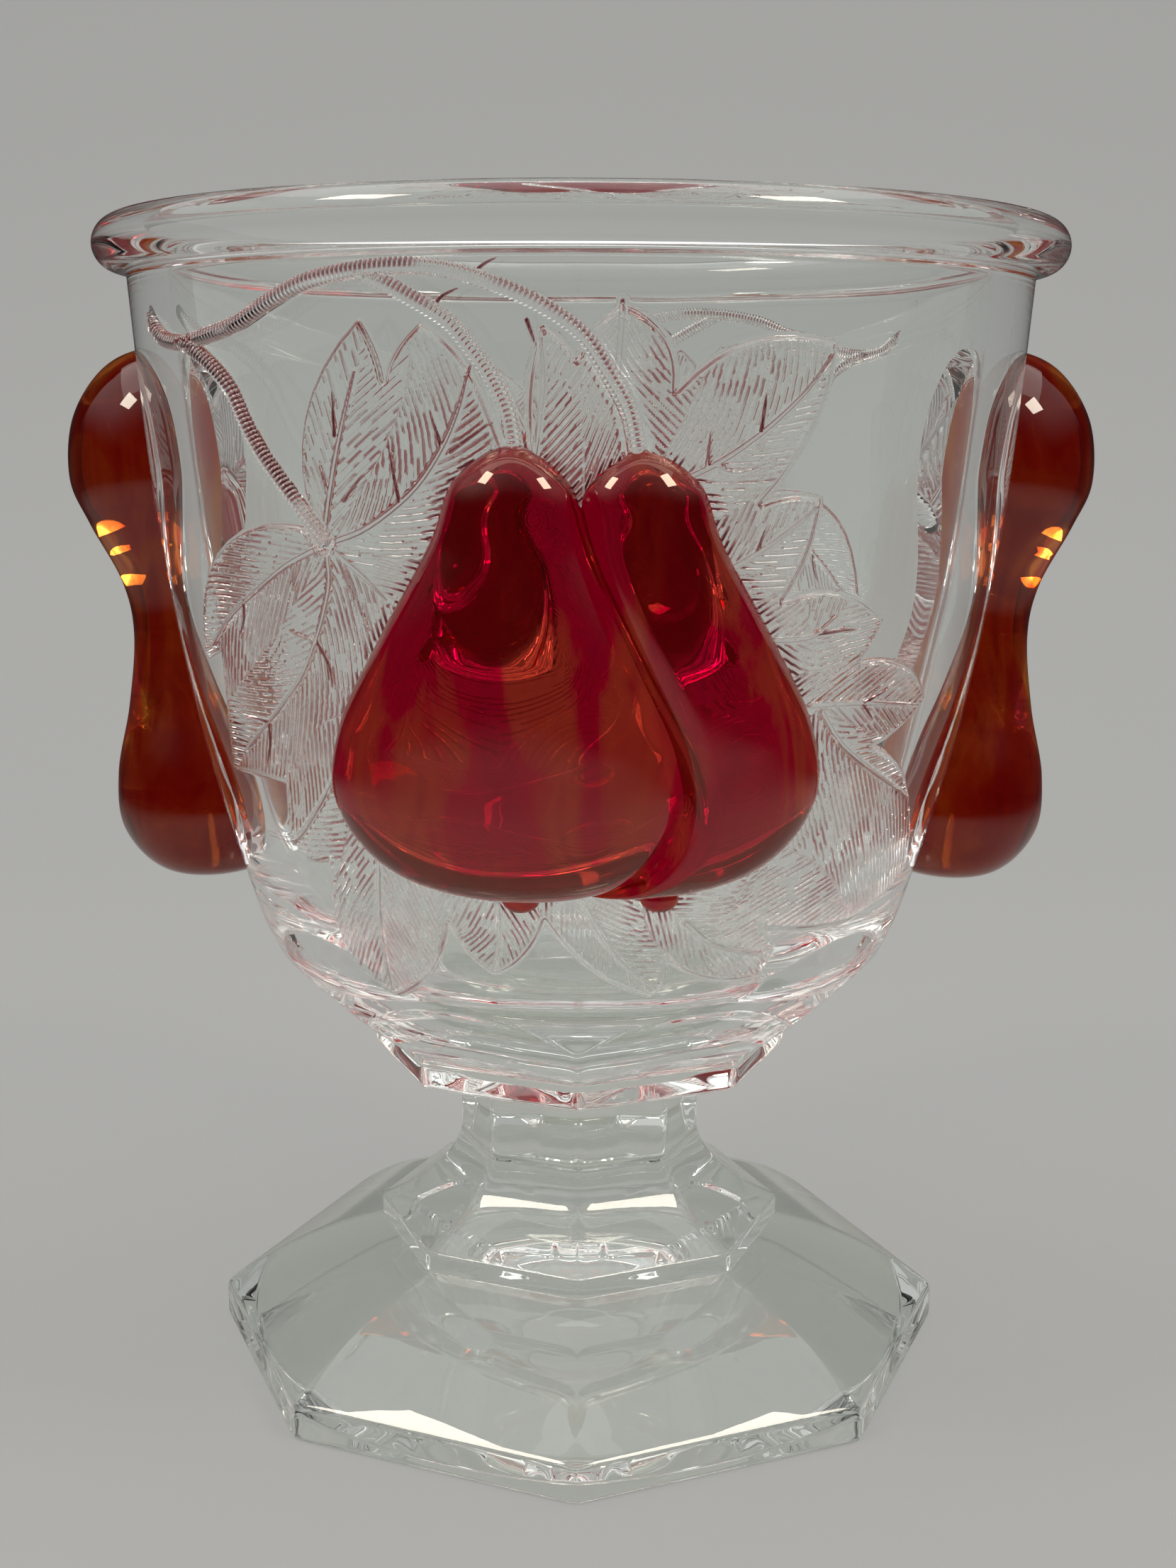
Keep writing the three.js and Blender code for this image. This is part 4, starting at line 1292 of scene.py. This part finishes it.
def both_sides(name, mesh, material, slot_name, **options):
    """Adds a piece on the front, and the same on the back."""
    for side, placed in (("front", mesh), ("back", half_turn(mesh))):
        node = f"{side}_{name}"
        add_piece(f"{node}_glass", placed, material, [node], slot_name, **options)


for name, limits in PANELS.items():
    mesh = panel(*limits)
    for distance in fruit_distances:
        mesh = cut_joint(mesh, distance)
    if name != "leaves_bottom":
        mesh = cut_joint(mesh, twig_distance)
    both_sides(name, mesh, leaf_glass, "relief_glass")


# %% [markdown]
# Now the solid bodies, each cut where it dips below the relief or into its neighbour.


# %% Build the pears, calyxes and handles
def above_relief(points):
    """Height of a point above the relief's face."""
    azimuth = np.degrees(np.arctan2(points[:, 0], -points[:, 1]))
    return outside_wall(points) - relief(azimuth, points[:, 2])[0]


surfaces = {"left": pears["left"].surface(144), "right": rolled(pears["right"].surface(400))}
for side, other in (("left", right_distance), ("right", pears["left"].distance)):
    mesh = cut_joint(closed_grid(rooted(surfaces[side])), above_relief)
    both_sides(f"pear_{side}", cut_joint(mesh, other), ruby, "ruby_stain")
for side, body in calyxes.items():
    mesh = cut_joint(closed_grid(rooted(body.surface(28))), above_relief)
    for distance in fruit_distances[:2]:
        mesh = cut_joint(mesh, distance)
    both_sides(f"calyx_{side}", mesh, ruby, "ruby_stain")
for side, body in handles.items():
    mesh = cut_joint(closed_grid(rooted(body.surface(144))), outside_wall)
    add_piece(f"handle_{side}_glass", mesh, amber_ruby, [f"handle_{side}"], "amber_ruby_stain")

# %% [markdown]
# A twig is a round rod with rings cut round it, about every half millimetre. The rings hold stain
# on the rod's upper flank.

# %% Build the twigs
RING_PITCH, RING_ROWS = 0.47, 6
RING_DEPTH, RING_POINTS = 0.18, 18

# Stretches that hold stain: from and to, in mm along the twig, and how dark
DARK = {
    "right_stalk": [(-2, 40, 0.9), (45, 60, 0.4)],
    "left_stalk": [(2, 9, 0.5)],
    "leaf_twig": [(-2, 24, 1.0)],
}


def twig_surface(places):
    """Rod along a line on the wall, with its run. Its radius waves once every ring pitch."""
    axis = wall_point(places[:, 0], places[:, 1], TWIG_RADIUS - TWIG_SINK)
    ran = np.concatenate([[0], np.cumsum(np.linalg.norm(np.diff(axis, axis=0), axis=1))])
    run = np.linspace(0, ran[-1], int(ran[-1] / RING_PITCH * RING_ROWS))
    axis = np.stack([np.interp(run, ran, axis[:, k]) for k in range(3)], 1)
    azimuth = np.interp(run, ran, places[:, 0])
    ahead = np.gradient(axis, axis=0)
    ahead /= np.linalg.norm(ahead, axis=1, keepdims=True)
    out = on_cylinder(np.ones(len(run)), np.radians(azimuth), np.zeros(len(run)))
    out -= (out * ahead).sum(1, keepdims=True) * ahead
    out /= np.linalg.norm(out, axis=1, keepdims=True)
    across = np.cross(ahead, out)
    across *= np.where(across[:, 2:] < 0, -1, 1)
    radius = TWIG_RADIUS - RING_DEPTH / 2 * (1 - np.cos(2 * math.pi * run / RING_PITCH))
    radius *= np.clip(0.12 + run / 2.6, 0, 1) * np.sqrt(np.clip((ran[-1] - run) / 0.5, 0.02, 1))
    radius[[0, -1]] = 0
    turn = np.linspace(0, 2 * math.pi, RING_POINTS, endpoint=False)[None, :, None]
    spokes = out[:, None] * np.cos(turn) + across[:, None] * np.sin(turn)
    return axis[:, None] + radius[:, None, None] * spokes, run, np.sin(turn[0, :, 0])


twig_meshes, base = [], 0
for name, places in twig_places.items():
    rings, run, flank = twig_surface(places)
    print(name, "runs", round(float(run[-1]), 1), "mm")
    amount = 0 * run
    for start, end, how_dark in DARK[name]:
        stained = step_up(run, start, start + 2) * step_up(-run, -end, 2 - end)
        amount = np.maximum(amount, stained * how_dark)
    rings_dark = step_up(-np.cos(2 * math.pi * run / RING_PITCH), -0.5, 0.3)
    stain = (amount * rings_dark)[:, None] * step_up(flank, -0.35, 0.2)[None]
    mesh = closed_grid(np.concatenate([rings, stain[..., None]], 2))
    for distance in (*fruit_distances, above_relief):
        mesh = cut_joint(mesh, distance)
    twig_meshes.append((mesh[0], mesh[1] + base, mesh[2]))
    base += len(mesh[0])
twigs = tuple(np.concatenate(part) for part in zip(*twig_meshes))
both_sides("twigs", twigs, twig_glass, "relief_glass", sharp=80)

# %% [markdown]
# ## Setting
#
# Clear glass shows what surrounds it, so the setting is part of its look. The jar stands on pale
# grey paper that sweeps up behind it, and the room beyond the paper is pale too.


# %% Describe the paper
def seen_rays(material):
    """1 for rays that come from the eye, straight or through glass, and 0 for all others."""
    path = add_node(material, "LightPath").outputs
    kinds = path["Is Camera Ray"], path["Is Transmission Ray"]
    return add_node(material, "Math", MOST, i0=kinds[0], i1=kinds[1])


def paper(name, colour):
    """Pale paper. Seen straight or through glass, it is partly lit by itself, a painted glow that
    keeps it even under and behind the jar. In reflections it fades to dark a few steps from the
    jar:
    painted shade on the floor."""
    material, out = new_material(name)
    seen = seen_rays(material)
    place = add_node(material, "TexCoord").outputs["Object"]
    x, y, _ = add_node(material, "SeparateXYZ", Vector=place).outputs
    across = add_node(material, "Math", TIMES, i0=x, i1=x)
    along = add_node(material, "Math", TIMES, i0=y, i1=y)
    squares = add_node(material, "Math", PLUS, i0=across, i1=along)
    away = add_node(material, "Math", SQUARE_ROOT, i0=squares)
    # Painted shade: rays that neither come from the eye nor pass through glass see the paper turn
    # dark from 110 mm to 450 mm off the jar
    ends = {"From_Min": 450 * MM, "From_Max": 110 * MM}
    near = add_node(material, "MapRange", SMOOTH, Value=away, **ends)
    pale = add_node(material, "Math", MOST, i0=near, i1=seen)
    both = {"i6": linear("#303030"), "i7": linear(colour)}
    tone_with_painted_shade = add_node(material, "Mix", COLOURS, i0=pale, **both).outputs[2]
    lit = add_node(material, "BsdfPrincipled", Base_Color=tone_with_painted_shade, Roughness=0.9)
    lit.inputs["Specular IOR Level"].default_value = 0.1
    # Painted glow: rays from the eye or through glass see the paper 65% lit by itself, which lifts
    # the jar's shadow
    glow = add_node(material, "Emission", Color=tone_with_painted_shade, Strength=1.0)
    share = add_node(material, "Math", TIMES, i0=seen, i1=0.65)
    shader = add_node(material, "MixShader", i0=share, i1=lit, i2=glow)
    material.node_tree.links.new(shader.outputs["Shader"], out.inputs["Surface"])
    return material


# %% Lay the floor and the backdrop
FLOOR_GAP = 0.04  # keeps the floor off the glass, so that light gets between them
sweep = fillet([(-900, -FLOOR_GAP, 0), (520, -FLOOR_GAP, 260), (560, 1200, 0)], steps=30, support=1)
sweep_points = np.array([(x, y, z) for y, z in sweep for x in (-1100, 1100)])
index = np.arange(len(sweep) * 2).reshape(-1, 2)
cells = np.stack([index[:-1, 0], index[:-1, 1], index[1:, 1], index[1:, 0]], 1)
backdrop_mesh = bpy.data.meshes.new("backdrop")
backdrop_mesh.from_pydata((sweep_points * MM).tolist(), [], cells.tolist())
backdrop_mesh.materials.append(paper("pale_grey_paper", "#b4b4b2"))
backdrop_mesh.shade_smooth()
backdrop = bpy.data.objects.new("backdrop", backdrop_mesh)
bpy.context.scene.collection.objects.link(backdrop)
print(len(sweep), "rows sweep from the floor up the wall")

# %% [markdown]
# The camera is where the photograph was taken from: 221 mm in front of the jar and 109 mm above
# the table, looking a little down. So close a view makes the rim look wide and the foot narrow.

# %% Set the camera
CAMERA_PLACE = (1.28, -221.21, 108.75)
PITCH, HEADING, ROLL = 0.19404, 0.00174, 0.00345
FOCAL_PER_HEIGHT = 2766.9 / 2212

camera_data = bpy.data.cameras.new("camera")
camera_data.sensor_fit = "VERTICAL"
camera_data.sensor_height = 36.0
camera_data.lens = 36.0 * FOCAL_PER_HEIGHT
camera_data.clip_start = 0.01
camera = bpy.data.objects.new("camera", camera_data)
turn = (
    Matrix.Rotation(HEADING, 4, "Z")
    @ Matrix.Rotation(math.pi / 2 - PITCH, 4, "X")
    @ Matrix.Rotation(ROLL, 4, "Z")
)
camera.matrix_world = Matrix.Translation([c * MM for c in CAMERA_PLACE]) @ turn
bpy.context.scene.collection.objects.link(camera)
bpy.context.scene.camera = camera
print("lens", round(camera_data.lens, 1), "mm on a sensor", camera_data.sensor_height, "mm tall")

# %% [markdown]
# One broad soft box lights it from above, and two small windows in front leave pairs of bright
# spots on the pears. Glass mirrors the room, so the room is dim in front and along the horizon for
# reflections alone, which keeps the ruby deep.


# %% Light the scene
def soft_box(name, place, aim, size, power, colour="#ffffff"):
    """Adds a rectangular lamp at a place, facing a point, both in mm."""
    data = bpy.data.lights.new(name, "AREA")
    data.shape = "RECTANGLE"
    data.size, data.size_y = size[0] * MM, size[1] * MM
    data.energy = power
    data.color = linear(colour)[:3]
    lamp = bpy.data.objects.new(name, data)
    place, aim = np.array(place, float), np.array(aim, float)
    back = (place - aim) / np.linalg.norm(place - aim)
    side = np.cross((0, 0, 1) if abs(back[2]) < 0.99 else (0, 1, 0), back)
    side /= np.linalg.norm(side)
    axes = np.stack([side, np.cross(back, side), back], 1)
    lamp.matrix_world = Matrix.Translation((place * MM).tolist()) @ Matrix(axes.tolist()).to_4x4()
    bpy.context.scene.collection.objects.link(lamp)
    print(name, "gives", power, "W")


soft_box("ceiling", (0, 200, 1000), (0, 200, 0), (1500, 900), 4.8)
soft_box("window_left", (-420, -230, 640), (0, 0, 90), (175, 150), 1.25, "#fff6e6")
soft_box("window_right", (430, -250, 640), (0, 0, 90), (190, 160), 1.45, "#fff6e6")

# %% [markdown]
# The world is the rest of the room: pale walls, brighter on the left, where the window is.


# %% Make the room
def room_light():
    """World light: a pale room, brighter on the left. Reflections and the paper see it dim
    where the photographer stands and along the horizon. The direction's x part is -1 to the
    left, its y part -1 straight ahead of the jar, and its z part 1 overhead."""
    world = bpy.data.worlds.new("room")
    world.use_nodes = True
    background = world.node_tree.nodes["Background"]
    toward = add_node(world, "TexCoord").outputs["Generated"]
    x, y, z = add_node(world, "SeparateXYZ", Vector=toward).outputs
    to_right = add_node(world, "MapRange", SMOOTH, Value=x, From_Min=-0.7, From_Max=0.7)
    sides = {"i6": linear("#d0d0d0"), "i7": linear("#b0b1b1")}
    walls = add_node(world, "Mix", COLOURS, i0=to_right, **sides).outputs[2]
    behind = add_node(world, "MapRange", SMOOTH, Value=y, From_Min=-0.95, From_Max=-0.2)
    above = add_node(world, "MapRange", SMOOTH, Value=z, From_Min=0.15, From_Max=0.7)
    bright = add_node(world, "Math", TIMES, i0=behind, i1=above)
    shown = add_node(world, "Math", MOST, i0=bright, i1=seen_rays(world))
    dim_or_not = {"i6": linear("#202224"), "i7": walls}
    room = add_node(world, "Mix", COLOURS, i0=shown, **dim_or_not).outputs[2]
    world.node_tree.links.new(room, background.inputs["Color"])
    return world


bpy.context.scene.world = room_light()
print(len(bpy.context.scene.world.node_tree.nodes), "nodes make the room")

# %% [markdown]
# Light has to pass many faces to get through the jar, so the limits on its bounces go up.

# %% Allow enough bounces
cycles = bpy.context.scene.cycles
cycles.max_bounces = 32
cycles.transmission_bounces = 32
cycles.glossy_bounces = 16
cycles.transparent_max_bounces = 64
bpy.context.scene.view_settings.view_transform = "Standard"
print("a ray may meet", cycles.max_bounces, "faces")
